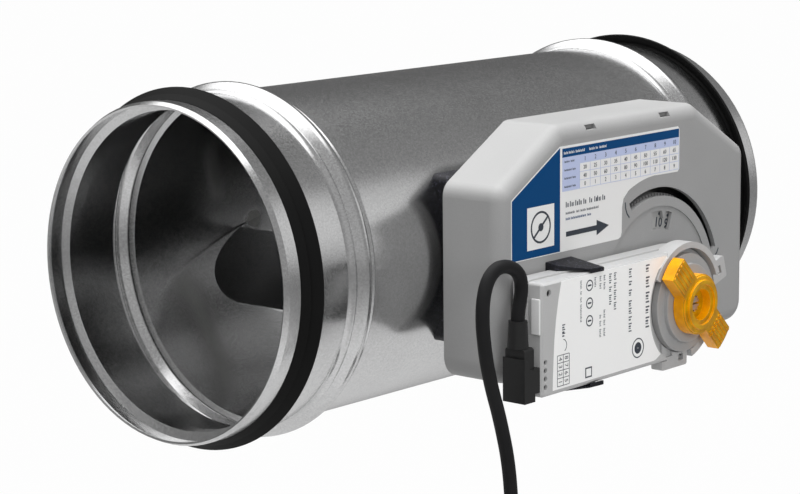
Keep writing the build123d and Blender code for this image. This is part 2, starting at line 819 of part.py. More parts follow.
# Cam: its edge is where the roller has to be for each set-point angle
roller_at = polar(roller_distance, roller_angle, spindle_at)
ratio = rocker_swing_angle / (setpoint_high_angle - setpoint_low_angle)
cam_edge = []
for i in range(cam_steps):
    theta = setpoint_low_angle + (setpoint_high_angle - setpoint_low_angle) * i / (cam_steps - 1)
    roller_now = turned(roller_at, ratio * theta, rocker_at)
    distance = math.dist(roller_now, spindle_at) - roller_r - roller_gap
    seen = math.atan2(roller_now[1] - spindle_z, roller_now[0] - spindle_x)
    angle = math.degrees(seen) % 360 - theta
    cam_edge.append(polar(distance, angle, spindle_at))
with BuildPart() as setpoint_cam:
    with BuildSketch(front(cam_back)):
        with BuildLine():
            working = Spline(*cam_edge)
            Line(working @ 0, spindle_at)
            Line(working @ 1, spindle_at)
        make_face()
        with Locations(spindle_at):
            Circle(cam_hub_r)
            Circle(spindle_r, mode=Mode.SUBTRACT)
    extrude(amount=cam_t)
finish(setpoint_cam, "setpoint_cam")

# Rocker: a bell crank on a post, with the roller on one arm and the spring on the other
spring_top = (at(spring_station), spring_top_z)
spring_bottom = (at(spring_station), spring_bottom_z)
with BuildPart() as spring_rocker:
    with BuildSketch(front(rocker_back)):
        for end in (roller_at, spring_top):
            with BuildSketch(mode=Mode.PRIVATE) as arm:
                with Locations(rocker_at):
                    Circle(rocker_boss_r)
                with Locations(end):
                    Circle(rocker_tip_r)
                make_hull()
            add(arm.sketch)
        with Locations(rocker_at):
            Circle(rocker_pin_r + run_gap, mode=Mode.SUBTRACT)
        with Locations(roller_at):
            Circle(roller_pin_r, mode=Mode.SUBTRACT)
    extrude(amount=rocker_t)
    with BuildSketch(front(rocker_back)):
        with Locations(spring_top):
            Circle(hook_pin_r)
    extrude(amount=-(rocker_back - spring_y + hook_r))
finish(spring_rocker, "spring_rocker")

with BuildPart() as rocker_pin:
    with BuildSketch(front(spindle_seat + run_gap)):
        with Locations(rocker_at):
            Circle(rocker_pin_r)
    extrude(amount=rocker_front + rocker_side_gap - spindle_seat - run_gap)
    with BuildSketch(front(rocker_front + rocker_side_gap)):
        with Locations(rocker_at):
            Circle(rocker_post_r)
    extrude(amount=pin_head_t)
finish(rocker_pin, "rocker_pin")

with BuildPart() as cam_roller:
    with BuildSketch(front(cam_back)):
        with Locations(roller_at):
            Circle(roller_r)
            Circle(roller_pin_r + run_gap, mode=Mode.SUBTRACT)
    extrude(amount=cam_t)
finish(cam_roller, "cam_roller")

with BuildPart() as roller_pin:
    with BuildSketch(front(rocker_back)):
        with Locations(roller_at):
            Circle(roller_pin_r)
    extrude(amount=cam_front - rocker_back)
    with BuildSketch(front(rocker_front)):
        with Locations(roller_at):
            Circle(roller_r)
    extrude(amount=cam_back - rocker_front - run_gap)
finish(roller_pin, "roller_pin")

# Lever clamped on the damper's shaft, with the pin that the spring pulls on
with BuildPart() as damper_lever:
    with BuildSketch(front(lever_back)):
        with Locations((damper_x, 0)):
            Circle(lever_hub_r)
        with Locations(spring_bottom):
            Circle(lever_tip_r)
        make_hull()
        with Locations((damper_x, 0)):
            Circle(shaft_r, mode=Mode.SUBTRACT)
        with Locations(spring_bottom):
            Circle(hook_pin_r, mode=Mode.SUBTRACT)
    extrude(amount=lever_t)
finish(damper_lever, "damper_lever")

with BuildPart() as lever_pin:
    with BuildSketch(front(lever_back)):
        with Locations(spring_bottom):
            Circle(hook_pin_r)
    extrude(amount=spring_y + hook_r - lever_back)
finish(lever_pin, "lever_pin")

# Tension spring: a helix between two end loops
loop_drop = hook_r - wire_r - hook_pin_r - run_gap
coil_top = spring_top_z - loop_drop - hook_r
coil_bottom = spring_bottom_z + loop_drop + hook_r
coil_r = spring_r - wire_r
coil_height = coil_top - coil_bottom
with BuildPart() as tension_spring:
    with BuildLine(Plane((at(spring_station), -spring_y, coil_bottom))):
        winding = Helix(coil_height / spring_turns, coil_height, coil_r)
    with BuildSketch(Plane(origin=winding @ 0, z_dir=winding % 0)):
        Circle(wire_r)
    sweep(path=winding, is_frenet=True)
finish(tension_spring, "tension_spring")

# Actuator outline as seen from the front: a flat left end and a round right end
with BuildSketch() as actuator_outline:
    with Locations(((at(actuator_left) + spindle_x) / 2, spindle_z)):
        Rectangle(spindle_x - at(actuator_left), 2 * actuator_half)
    fillet(vertices().sort_by(Axis.X)[:2], actuator_corner_r)
    with Locations(spindle_at):
        Circle(actuator_half)
actuator_face = actuator_outline.sketch
actuator_back = housing_front + actuator_gap
actuator_joint = actuator_back + actuator_split
with BuildPart() as actuator_base:
    with BuildSketch(front(actuator_back)):
        add(actuator_face)
    extrude(amount=actuator_split)
    with BuildSketch(front(actuator_back + actuator_wall)):
        add(actuator_face)
        offset(amount=-actuator_wall)
    extrude(amount=actuator_split, mode=Mode.SUBTRACT)
    with BuildSketch(front(actuator_back)):
        with Locations(spindle_at):
            Circle(spindle_r + spindle_hole_gap)
    extrude(amount=actuator_wall, mode=Mode.SUBTRACT)
finish(actuator_base, "actuator_base")

with BuildPart() as actuator_cover:
    with BuildSketch(front(actuator_joint)):
        add(actuator_face)
        offset(amount=-actuator_lip)
    extrude(amount=label_face - actuator_joint)
    chamfer(faces().sort_by(Axis.Y)[0].edges(), actuator_edge)
    with BuildSketch(front(round_face)):
        with Locations(spindle_at):
            Circle(round_end_clear_r)
    extrude(amount=actuator_depth, mode=Mode.SUBTRACT)
    with BuildSketch(front(actuator_joint)):
        add(actuator_face)
        offset(amount=-(actuator_lip + actuator_wall))
    extrude(amount=round_face - actuator_wall - actuator_joint, mode=Mode.SUBTRACT)
    with BuildSketch(front(actuator_joint)):
        with Locations(spindle_at):
            Circle(spindle_r + spindle_hole_gap)
    extrude(amount=actuator_depth, mode=Mode.SUBTRACT)
    with BuildSketch(front(actuator_joint)):
        collar_outer_r = collar_inner_r + collar_t
        add(ring_sector(
            spindle_at, collar_inner_r, collar_outer_r, collar_start_angle, collar_end_angle
        ))
    extrude(amount=label_face + collar_rise - actuator_joint)
    with BuildSketch(front(actuator_joint)):
        add(ring_sector(
            spindle_at, guard_inner_r, collar_outer_r, guard_start_angle, guard_end_angle
        ))
    extrude(amount=label_face - guard_drop - actuator_joint)
    with BuildSketch(front(label_face)):
        with Locations((at(button_station), button_z)):
            Circle(button_r)
        with Locations((at(lamp_station), lamp_z)):
            with GridLocations(1, lamp_pitch, 1, lamp_count):
                Circle(lamp_r)
    extrude(amount=-lamp_depth, mode=Mode.SUBTRACT)
finish(actuator_cover, "actuator_cover")

with BuildPart() as drive_hub:
    with BuildSketch(front(hub_back)):
        with Locations(spindle_at):
            Circle(hub_r)
            Circle(spindle_r, mode=Mode.SUBTRACT)
    extrude(amount=hub_front - hub_step - hub_back)
    with BuildSketch(front(hub_front - hub_step)):
        with Locations(spindle_at):
            Circle(hub_step_r)
            Circle(spindle_r, mode=Mode.SUBTRACT)
    extrude(amount=hub_step)
finish(drive_hub, "drive_hub")

# Knob: an open ring with two ribbed wings, and a web at its back that grips the spindle
rib_start = knob_ring_r + knob_rib_w / 2
rib_len = knob_wing_r - knob_rib_end - rib_start
ribs = [(rib_start + rib_len / 2, k * knob_rib_pitch) for k in (-2, -1, 0, 1, 2)]
with BuildPart() as clamp_knob:
    with BuildSketch(front(knob_back)):
        with Locations(spindle_at):
            Circle(knob_ring_r)
    extrude(amount=knob_depth - knob_edge)
    with BuildSketch(front(knob_back)):
        with Locations(spindle_at):
            Circle(knob_ring_r - knob_edge)
        with Locations(Location(spindle_at, knob_wing_angle)):
            Rectangle(2 * knob_wing_r, knob_wing_w)
        with Locations(spindle_at):
            Circle(knob_wing_r, mode=Mode.INTERSECT)
    extrude(amount=knob_depth)
    with BuildSketch(front(knob_back + knob_depth)):
        with Locations(spindle_at):
            Circle(knob_lip_r)
            Circle(knob_lip_inner_r, mode=Mode.SUBTRACT)
    extrude(amount=knob_lip)
    with BuildSketch(front(knob_back + knob_depth)):
        for angle in (knob_wing_angle, knob_wing_angle + 180):
            with Locations(Location(spindle_at, angle)):
                with Locations(*ribs):
                    Rectangle(rib_len, knob_rib_w)
    extrude(amount=knob_rib_h)
    with BuildSketch(front(knob_back + knob_depth + knob_rib_h)):
        with Locations(Location(spindle_at, knob_wing_angle + 180)):
            with Locations((knob_mark_r, 0)):
                Rectangle(knob_mark_w, knob_wing_w)
    extrude(amount=-2 * knob_rib_h, mode=Mode.SUBTRACT)
    with BuildSketch(front(knob_back + knob_web_t)):
        with Locations(spindle_at):
            Circle(knob_hole_r)
    extrude(amount=knob_depth, mode=Mode.SUBTRACT)
    with BuildSketch(front(knob_back)):
        with Locations(spindle_at):
            Circle(spindle_r + run_gap)
    extrude(amount=knob_depth, mode=Mode.SUBTRACT)
finish(clamp_knob, "clamp_knob")

# End stops on the actuator's round end: one beside its rim, one over its lower rim
stop_at = polar(stop_foot_r + stop_len / 2, stop_angle, spindle_at)
with BuildPart() as upper_end_stop:
    with BuildSketch(front(round_face - stop_t)):
        with Locations(Location(stop_at, stop_angle)):
            RectangleRounded(stop_len, stop_w, stop_corner_r)
            Rectangle(stop_hole_l, stop_hole_w, mode=Mode.SUBTRACT)
    extrude(amount=stop_t)
finish(upper_end_stop, "upper_end_stop")

lower_at = (at((lower_stop_left + lower_stop_right) / 2), (lower_stop_top + lower_stop_bottom) / 2)
lower_size = (lower_stop_right - lower_stop_left, lower_stop_top - lower_stop_bottom)
with BuildSketch() as kept_clear:
    add(actuator_face)
    offset(amount=fit_gap)
with BuildPart() as lower_end_stop:
    with BuildSketch(front(round_face - stop_t)):
        with Locations(lower_at):
            RectangleRounded(*lower_size, stop_corner_r)
        add(kept_clear.sketch, mode=Mode.SUBTRACT)
    extrude(amount=stop_t + lower_stop_rise)
    with BuildSketch(front(round_face + run_gap)):
        with Locations(spindle_at):
            Circle(round_end_clear_r - fit_gap)
        with Locations(lower_at):
            RectangleRounded(*lower_size, stop_corner_r, mode=Mode.INTERSECT)
        with Locations(spindle_at):
            Circle(hub_r + stop_corner_r / 2, mode=Mode.SUBTRACT)
    extrude(amount=lower_stop_rise - run_gap)
    with BuildSketch(front(round_face + lower_stop_rise)):
        for s, z, pocket_l, pocket_w in lower_pockets:
            with Locations((at(s), z)):
                Rectangle(pocket_l, pocket_w)
    extrude(amount=-lower_pocket_depth, mode=Mode.SUBTRACT)
finish(lower_end_stop, "lower_end_stop")

with BuildPart() as end_clip:
    with BuildSketch(front(actuator_back + clip_rise)):
        with Locations((at(actuator_left) + actuator_lip - clip_t / 2, clip_z)):
            Rectangle(clip_t, clip_len)
    extrude(amount=clip_w)
finish(end_clip, "end_clip")

# Holder: a clip from behind the actuator round its top and bottom edges
holder_bottom = spindle_z - actuator_half - fit_gap
holder_top = spindle_z + actuator_half + fit_gap
hook_back = label_face + fit_gap
hook_front = hook_back + holder_hook_t
with BuildPart() as actuator_holder:
    with BuildSketch(Plane.YZ.offset(at(holder_left))):
        with BuildLine():
            Polyline(
                (-housing_front, holder_bottom - holder_arm_t),
                (-hook_front, holder_bottom - holder_nose_t),
                (-hook_front, holder_bottom + holder_hook_len),
                (-hook_back, holder_bottom + holder_hook_len),
                (-hook_back, holder_bottom),
                (-(actuator_back - fit_gap), holder_bottom),
                (-(actuator_back - fit_gap), holder_top),
                (-hook_back, holder_top),
                (-hook_back, holder_top - holder_hook_len),
                (-hook_front, holder_top - holder_hook_len),
                (-hook_front, holder_top + holder_nose_t),
                (-housing_front, holder_top + holder_arm_t),
                close=True,
            )
        make_face()
    extrude(amount=holder_right - holder_left)
    with BuildSketch(Plane.XY):
        with BuildLine():
            Polyline(
                (at(holder_left), -(hook_back - holder_cut_depth)),
                (at(holder_left + holder_cut_len), -hook_back),
                (at(holder_right), -hook_front),
                (at(holder_left), -hook_front),
                close=True,
            )
        make_face()
    extrude(amount=2 * actuator_half + housing_top, both=True, mode=Mode.SUBTRACT)
finish(actuator_holder, "actuator_holder")

# Plug in the actuator's end, with its cover and the sleeve that the cord comes out of
plug_left = at(actuator_left) - plug_out
plug_front = label_face - plug_front_inset
plug_mid_z = (plug_top_z + plug_bottom_z) / 2
plug_mid_y = -(plug_front - plug_w / 2)
plug_right = at(actuator_left) - run_gap
plug_body_right = plug_left + plug_body_len
wave_top = plug_bottom_z + plug_wave_high
wave_low = plug_bottom_z + plug_wave_low
tongue_bottom = plug_tongue_z + plug_cover_t
with BuildPart() as connector_plug:
    with BuildSketch(Plane.YZ.offset(plug_left)):
        with Locations((plug_mid_y, plug_mid_z)):
            RectangleRounded(plug_w, plug_top_z - plug_bottom_z, plug_corner_r)
    extrude(amount=plug_body_len)
    with BuildSketch(Plane.YZ.offset(plug_body_right)):
        with Locations((plug_mid_y, (wave_low + tongue_bottom) / 2)):
            Rectangle(plug_w, wave_low - tongue_bottom)
    extrude(amount=plug_right - plug_body_right)
finish(connector_plug, "connector_plug")

cover_left = plug_left - plug_cover_t
cover_right = at(actuator_left) - plug_cover_gap
cover_bottom = plug_bottom_z - plug_cover_t
with BuildPart() as plug_cover:
    with BuildSketch(Plane.XZ.offset(-plug_mid_y)):
        with BuildLine():
            wave = Spline(
                (cover_left, wave_top),
                (cover_left + plug_wave_len / 2, (wave_top + wave_low) / 2),
                (cover_left + plug_wave_len, wave_low),
                tangents=[(1, 0), (1, 0)],
            )
            Polyline(
                wave @ 1,
                (cover_right, wave_low),
                (cover_right, plug_tongue_z),
                (plug_body_right, plug_tongue_z),
                (plug_body_right, cover_bottom),
                (cover_left, cover_bottom),
                wave @ 0,
            )
        make_face()
    extrude(amount=plug_w / 2 + plug_cover_t, both=True)
    add(connector_plug.part, mode=Mode.SUBTRACT)
finish(plug_cover, "plug_cover")

sleeve_x = plug_left + sleeve_inset
sleeve_y = plug_mid_y
sleeve_end_z = plug_top_z + sleeve_len
with BuildPart() as strain_relief:
    with BuildSketch(Plane((sleeve_x, sleeve_y, plug_top_z))):
        Circle(sleeve_r)
    with BuildSketch(Plane((sleeve_x, sleeve_y, sleeve_end_z))):
        Circle(sleeve_top_r)
    loft()
finish(strain_relief, "strain_relief")

# Supply cord: up out of the sleeve, over in a tight loop and down to a tied coil
cord_route = [
    (sleeve_x, sleeve_y, sleeve_end_z),
    (sleeve_x, sleeve_y, cord_loop_z),
    (sleeve_x - cord_loop_w, sleeve_y + cord_loop_out, cord_loop_z),
]
cord_route += [(sleeve_x + dx, sleeve_y + dy, z) for dx, dy, z in cord_fall]
cord_route.append((cord_route[-1][0], cord_route[-1][1], coil_z))


def bend_radii(points):
    """Radius of each arc: as large as its two runs allow."""
    radii = []
    for before, here, after in zip(points, points[1:], points[2:]):
        into = Vector(*here) - Vector(*before)
        out = Vector(*after) - Vector(*here)
        half_turn = math.radians(into.get_angle(out) / 2)
        radii.append(0.45 * min(into.length, out.length) / math.tan(half_turn))
    return radii


cord_radii = bend_radii(cord_route)
print("cord radii", [round(r, 1) for r in cord_radii])
coil_at = Vector(*cord_route[-1]) - Vector(coil_turn_r, 0, 0)
with BuildPart() as cord_coil:
    with Locations(Location((coil_at.X, coil_at.Y, coil_at.Z), (90, 0, 0))):
        Torus(coil_turn_r, coil_bundle_r)
finish(cord_coil, "cord_coil")

with BuildPart() as supply_cord:
    with BuildLine():
        route = FilletPolyline(*cord_route, radius=cord_radii)
    with BuildSketch(Plane(origin=route @ 0, z_dir=route % 0)):
        Circle(cord_r)
    sweep(path=route)
    add(cord_coil.part, mode=Mode.SUBTRACT)
finish(supply_cord, "supply_cord")
route_len = route.wire().length
print("cord volume", round(supply_cord.part.volume), round(math.pi * cord_r**2 * route_len))

with BuildPart() as coil_tie:
    with BuildSketch(Plane.YZ.offset(coil_at.X - tie_w / 2)):
        with Locations((coil_at.Y, coil_at.Z - coil_turn_r)):
            Circle(coil_bundle_r + tie_gap + tie_t)
            Circle(coil_bundle_r + tie_gap, mode=Mode.SUBTRACT)
    extrude(amount=tie_w)
finish(coil_tie, "coil_tie")

# Far end of the cord: a short tail out of the coil and three leads with ferrules
tail_x = coil_at.X + coil_turn_r
tail_end_z = coil_at.Z - tail_len
lead_places = [(tail_x + k * lead_pitch, coil_at.Y) for k in (-1, 0, 1)]
with BuildPart() as cord_tail:
    with BuildSketch(Plane((tail_x, coil_at.Y, tail_end_z))):
        Circle(cord_r)
    extrude(amount=tail_len)
    add(cord_coil.part, mode=Mode.SUBTRACT)
finish(cord_tail, "cord_tail")

with BuildPart() as wire_leads:
    with BuildSketch(Plane((0, 0, tail_end_z))):
        with Locations(*lead_places):
            Circle(lead_r)
    extrude(amount=-lead_len)
finish(wire_leads, "wire_leads")

with BuildPart() as lead_ferrules:
    with BuildSketch(Plane((0, 0, tail_end_z - lead_len))):
        with Locations(*lead_places):
            Circle(ferrule_r)
    extrude(amount=-ferrule_len)
finish(lead_ferrules, "lead_ferrules")
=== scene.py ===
# %% [markdown]
# # A round air volume controller
#
# The object is a length of galvanised duct with a rubber-sealed spigot at each end. A blade
# tilts inside it. On its side sits a moulded housing with a toothed set-point dial, and on the
# housing an electric actuator with an amber knob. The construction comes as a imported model, in
# metres, with +X along the duct, -Y towards the housing and +Z up. This script gives each
# visible surface its finish, and adds what is printed, moulded or soft.

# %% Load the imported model
import math

import bmesh
import bpy
from mathutils import Matrix, Vector


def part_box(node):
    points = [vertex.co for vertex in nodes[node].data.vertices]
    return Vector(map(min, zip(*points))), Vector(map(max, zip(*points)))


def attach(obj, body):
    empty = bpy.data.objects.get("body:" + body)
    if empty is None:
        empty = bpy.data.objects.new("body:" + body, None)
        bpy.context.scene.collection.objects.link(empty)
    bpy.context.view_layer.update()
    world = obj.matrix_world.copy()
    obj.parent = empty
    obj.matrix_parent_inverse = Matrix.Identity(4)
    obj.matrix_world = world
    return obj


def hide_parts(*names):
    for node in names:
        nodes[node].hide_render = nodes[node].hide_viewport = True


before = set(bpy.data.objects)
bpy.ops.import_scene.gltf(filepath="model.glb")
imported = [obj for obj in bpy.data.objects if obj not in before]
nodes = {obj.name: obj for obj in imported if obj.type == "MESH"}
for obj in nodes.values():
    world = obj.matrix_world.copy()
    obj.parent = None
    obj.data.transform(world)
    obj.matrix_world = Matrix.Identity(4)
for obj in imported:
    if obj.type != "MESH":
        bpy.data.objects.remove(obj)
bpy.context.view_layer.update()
scene = bpy.context.scene
MM = 0.001

# %% [markdown]
# ## Where the pieces are
#
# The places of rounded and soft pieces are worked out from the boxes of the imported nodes, so
# they follow the construction. Along the duct, places are counted as stations from the inlet
# rim, the duct's lowest X.

# %% Places that many pieces share
rim_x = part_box("duct_tube")[0][0]
duct_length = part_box("duct_tube")[1][0] - rim_x
housing_face_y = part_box("housing_cover")[0][1]
spindle_low, spindle_high = (Vector(corner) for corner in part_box("setpoint_spindle"))
spindle = (spindle_low + spindle_high) / 2
SPINDLE = (round((spindle.x - rim_x) / MM, 3), round(spindle.z / MM, 3))
print("rim", rim_x, "spindle's station and height", SPINDLE, "housing face", housing_face_y)


def station(mm):
    """X in metres of a station in millimetres from the inlet rim."""
    return rim_x + mm * MM


def add_object(name, data):
    """Puts a mesh, a curve, a lamp or a camera into the scene as an object."""
    made = bpy.data.objects.new(name, data)
    scene.collection.objects.link(made)
    return made


# %% [markdown]
# ## The camera
#
# The photograph was taken a little above the duct's axis, with a long lens from about 1.1 m.
# The camera's place and its three axes were fitted to the spigot's circles and to the straight
# edges of the housing. A Track To constraint would aim it at a point, but it can't take the
# small roll of the photograph, so the camera's matrix is built from its axes.

# %% Camera at the photograph's viewing angle
camera_place = Vector((rim_x - 0.72281, -0.77805, 0.19756))
camera_yaw = math.radians(41.179)      # from +X towards +Y
camera_pitch = math.radians(-9.958)
camera_roll = math.radians(-0.611)
lens_mm = 105.946

camera = bpy.data.cameras.new("camera")
camera.lens = lens_mm
camera.sensor_width = 36.0
camera.clip_start = 0.05
camera_object = add_object("camera", camera)
look = Vector((
    math.cos(camera_pitch) * math.cos(camera_yaw),
    math.cos(camera_pitch) * math.sin(camera_yaw),
    math.sin(camera_pitch),
))
level_right = look.cross(Vector((0, 0, 1))).normalized()
level_up = level_right.cross(look)
right = level_right * math.cos(camera_roll) + level_up * math.sin(camera_roll)
up = right.cross(look)
turn = Matrix((right, up, -look)).transposed()
camera_object.matrix_world = Matrix.Translation(camera_place) @ turn.to_4x4()
scene.camera = camera_object
print("camera looks along", tuple(round(v, 4) for v in look))

# %% [markdown]
# ## Shader maths as plain expressions
#
# A pattern such as grain is a chain of Math nodes, which is long to write and hard to read. So
# one output of a node is wrapped as a `Value` that can be added, subtracted and multiplied.
# Each such step adds the Math node that does it, and a pattern reads like a formula.

# %% Values
class Value:
    """One output socket of a node, with arithmetic."""

    def __init__(self, surface, socket):
        self.surface = surface
        self.socket = socket

    def __add__(self, other):
        return self.surface.math("ADD", self, other)

    def __sub__(self, other):
        return self.surface.math("SUBTRACT", self, other)

    def __rsub__(self, other):
        return self.surface.math("SUBTRACT", other, self)

    def __mul__(self, other):
        return self.surface.math("MULTIPLY", self, other)

    __radd__ = __add__
    __rmul__ = __mul__


# %% [markdown]
# ## Surfaces
#
# A material here is a `Surface` round one Principled shader. Its `node` method adds one node
# from a type, its settings and its sockets, and gives back a `Value`. Patterns are laid out in
# the object's own metres, so a grain has its real size on every piece.

# %% Surfaces
def socket_name(key):
    """The shader's name for a socket: specular_ior_level is Specular IOR Level."""
    return key.replace("_", " ").title().replace("Ior", "IOR")


class Surface:
    """A node material built round one Principled shader."""

    def __init__(self, name, **fixed):
        self.material = bpy.data.materials.new(name)
        self.material.use_nodes = True
        self.tree = self.material.node_tree
        self.shader = self.tree.nodes["Principled BSDF"]
        for key, value in fixed.items():
            self.feed(self.shader.inputs[socket_name(key)], value)

    def feed(self, socket, value):
        """Links a Value to a socket, or sets a number or a colour on it."""
        if isinstance(value, Value):
            self.tree.links.new(value.socket, socket)
        elif hasattr(value, "__len__") and len(value) == 3 and socket.type == "RGBA":
            socket.default_value = (*value, 1.0)
        else:
            socket.default_value = value

    def node(self, kind, settings=None, sockets=None, out=0):
        """Adds a node: its type, its settings, then the values or links of its sockets."""
        made = self.tree.nodes.new(kind)
        for key, value in (settings or {}).items():
            if key == "stops":
                for stop, (place, colour) in zip(made.color_ramp.elements, value):
                    stop.position = place
                    stop.color = (*colour, 1.0)
            else:
                setattr(made, key, value)
        for key, value in (sockets or {}).items():
            self.feed(made.inputs[key], value)
        return Value(self, made.outputs[out])

    def math(self, operation, *terms):
        return self.node("ShaderNodeMath", {"operation": operation}, dict(enumerate(terms)))

    def mix(self, factor, first, second):
        """A colour between two colours."""
        return self.node("ShaderNodeMix", {"data_type": "RGBA"},
                         {0: factor, 6: first, 7: second}, out=2)

    def ramp(self, value, *stops):
        """A colour from two stops, each a place and a colour."""
        return self.node("ShaderNodeValToRGB", {"stops": stops}, {"Fac": value})

    def place(self):
        """The point's place in metres."""
        return self.node("ShaderNodeTexCoord", out=3)

    def noise(self, size, detail=2.0, rough=0.5):
        """Noise from 0 to 1 whose lumps are about size metres."""
        return self.node("ShaderNodeTexNoise", None, {
            "Vector": self.place(), "Scale": 1 / size, "Detail": detail, "Roughness": rough})

    def cells(self, size, out=0):
        """Voronoi cells about size metres across."""
        return self.node("ShaderNodeTexVoronoi", None, {
            "Vector": self.place(), "Scale": 1 / size}, out=out)

    def spread(self, value, span, result, smooth=False):
        """Maps one span of numbers onto another, with soft ends where that is wanted."""
        kind = "SMOOTHSTEP" if smooth else "LINEAR"
        return self.node("ShaderNodeMapRange", {"interpolation_type": kind}, {
            0: value, 1: span[0], 2: span[1], 3: result[0], 4: result[1]})

    def bump(self, height, depth, strength):
        """Bends the surface's normal by a height pattern that is depth metres deep."""
        normal = self.node("ShaderNodeBump", None,
                           {"Strength": strength, "Distance": depth, "Height": height})
        self.feed(self.shader.inputs["Normal"], normal)

    def use(self, **links):
        for key, value in links.items():
            self.feed(self.shader.inputs[socket_name(key)], value)
        return self.material


def paint(material, *names):
    """Gives CAD nodes a material in place of their plain one."""
    for name in names:
        data = nodes[name].data
        data.materials.clear()
        data.materials.append(material)


# %% [markdown]
# ## Galvanised sheet
#
# The duct is hot-dip galvanised steel. Its zinc has set in fine crystals, the spangle, each a
# little brighter or duller than its neighbours. From a metre away that reads as a fine grain in
# blurred reflections. An image of a sheet would show its repeats on a tube, so the grain is
# worked out from cells and noise. They vary the tint and the roughness slightly, and a faint
# bump breaks the reflections up.

# %% Galvanised steel
def galvanised():
    steel = Surface("galvanised_sheet", metallic=1.0)
    crystals = steel.cells(0.0007, out=1)
    crystal = steel.node("ShaderNodeSeparateColor", None, {"Color": crystals})
    grain = steel.noise(0.0009, detail=3.0)
    clouds = steel.noise(0.03, detail=3.0)
    tint = steel.ramp(crystal * 0.25 + grain * 0.5 + clouds * 0.25,
                      (0.3, (0.61, 0.61, 0.612)), (0.7, (0.79, 0.791, 0.793)))
    steel.bump(grain * 0.6 + crystal * 0.4, 0.00001, 0.17)
    return steel.use(base_color=tint, roughness=0.16 + crystal * 0.05 + grain * 0.05)


steel_sheet = galvanised()
print("finish", steel_sheet.name)


# %% [markdown]
# ## Zinc-plated small parts
#
# Screws, pins, the shaft and the lever are zinc plated and turned or stamped. They are small
# and mostly inside, so one plain metal with a fine grain is enough for all of them.

# %% Zinc plating
def zinc():
    plating = Surface("zinc_plating", metallic=1.0)
    grain = plating.noise(0.0008, detail=3.0)
    tint = plating.ramp(grain, (0.3, (0.60, 0.60, 0.58)), (0.7, (0.74, 0.74, 0.72)))
    plating.bump(grain, 0.00002, 0.3)
    return plating.use(base_color=tint, roughness=0.24 + grain * 0.16)


zinc_plating = zinc()
print("finish", zinc_plating.name)


# %% [markdown]
# ## Moulded plastics
#
# Housing, actuator, dial and plug are injection moulded. A fine spark-eroded texture in the
# mould leaves a matt grain on them. They differ in colour, gloss and depth of grain alone, so
# one function makes them all. The labels' films and inks come from it too.

# %% Plastics with a moulded grain
def moulded(name, colour, rough, grain_depth=0.00003, mottle=0.06, shine=0.5):
    """A plastic from its colour, its roughness, its grain and how much it shines."""
    plastic = Surface(name, specular_ior_level=shine)
    grain = plastic.noise(0.0005)
    patches = plastic.noise(0.04)
    darker = tuple(c * (1 - mottle) for c in colour)
    lighter = tuple(min(c * (1 + mottle), 1.0) for c in colour)
    tint = plastic.ramp(grain * 0.5 + patches * 0.5, (0.3, darker), (0.7, lighter))
    plastic.bump(grain, grain_depth, 0.4)
    return plastic.use(base_color=tint, roughness=(rough - 0.05) + grain * 0.1)


housing_grey = moulded("housing_grey", (0.315, 0.315, 0.315), 0.50)
base_grey = moulded("base_grey", (0.20, 0.20, 0.20), 0.55)
actuator_grey = moulded("actuator_grey", (0.45, 0.45, 0.45), 0.40, grain_depth=0.00001)
clip_grey = moulded("clip_grey", (0.74, 0.74, 0.74), 0.38, grain_depth=0.00001)
# Painted shade for the discs in the actuator's small holes.
painted_hole_shade = moulded("painted_hole_shade", (0.02, 0.02, 0.02), 0.40, grain_depth=0.00001, shine=0.2)
hub_grey = moulded("hub_grey", (0.35, 0.35, 0.35), 0.40, grain_depth=0.00001)
dial_grey = moulded("dial_grey", (0.20, 0.20, 0.20), 0.40, grain_depth=0.00001)
scale_grey = moulded("scale_grey", (0.36, 0.36, 0.355), 0.5, grain_depth=0.00001)
cam_white = moulded("cam_white", (0.72, 0.70, 0.64), 0.45)
plug_black = moulded("plug_black", (0.010, 0.010, 0.010), 0.55, grain_depth=0.00001)
lead_red = moulded("lead_red", (0.50, 0.03, 0.02), 0.4)
print("finishes", housing_grey.name, actuator_grey.name, plug_black.name)

# %% Films and inks of the labels
FILM_GRAIN = 0.000003


def film(name, colour, rough=0.32, mottle=0.01, shine=0.5):
    """A printed film's colour: nearly even, with a trace of grain."""
    return moulded(name, colour, rough, grain_depth=FILM_GRAIN, mottle=mottle, shine=shine)


label_white = film("label_white", (0.77, 0.77, 0.765))
film_white = film("film_white", (0.88, 0.88, 0.875))
label_blue = film("label_blue", (0.0, 0.050, 0.165), mottle=0.02, shine=0.15)
label_pale = film("label_pale", (0.47, 0.53, 0.74))
# This dark ink also paints the shade strokes at the ends of the dial's slot.
ink_and_painted_shade = film("ink_and_painted_shade", (0.028, 0.036, 0.05), rough=0.35, mottle=0.05)
label_text = film("label_text", (0.07, 0.08, 0.10), rough=0.35, mottle=0.05)
print("films", label_white.name, film_white.name, label_blue.name)

# %% [markdown]
# ## Textured black
#
# The saddle and the actuator's holder are black with a coarse, sparkling grain, like a sand
# cast surface. A bump alone would only look rough, so lumps of noise above a level are also
# painted as brighter specks.

# %% Coarse black grain
def coarse_black():
    black = Surface("coarse_black")
    cells = black.cells(0.0012)
    lumps = black.noise(0.0011, detail=4.0, rough=0.7)
    specks = black.math("GREATER_THAN", lumps, 0.59)
    tint = black.mix(specks, (0.0015, 0.0015, 0.004), (0.036, 0.036, 0.056))
    black.bump(lumps * 0.7 + cells * 0.3, 0.0002, 0.7)
    return black.use(base_color=tint, roughness=0.55 - specks * 0.15)


saddle_black = coarse_black()
print("finish", saddle_black.name)


# %% [markdown]
# ## Rubber
#
# The seals and the cord's jacket are black rubber. Rubber is matt and shines less than a
# plastic, so its specular level is low, and only a weak broad sheen is left on the lips.

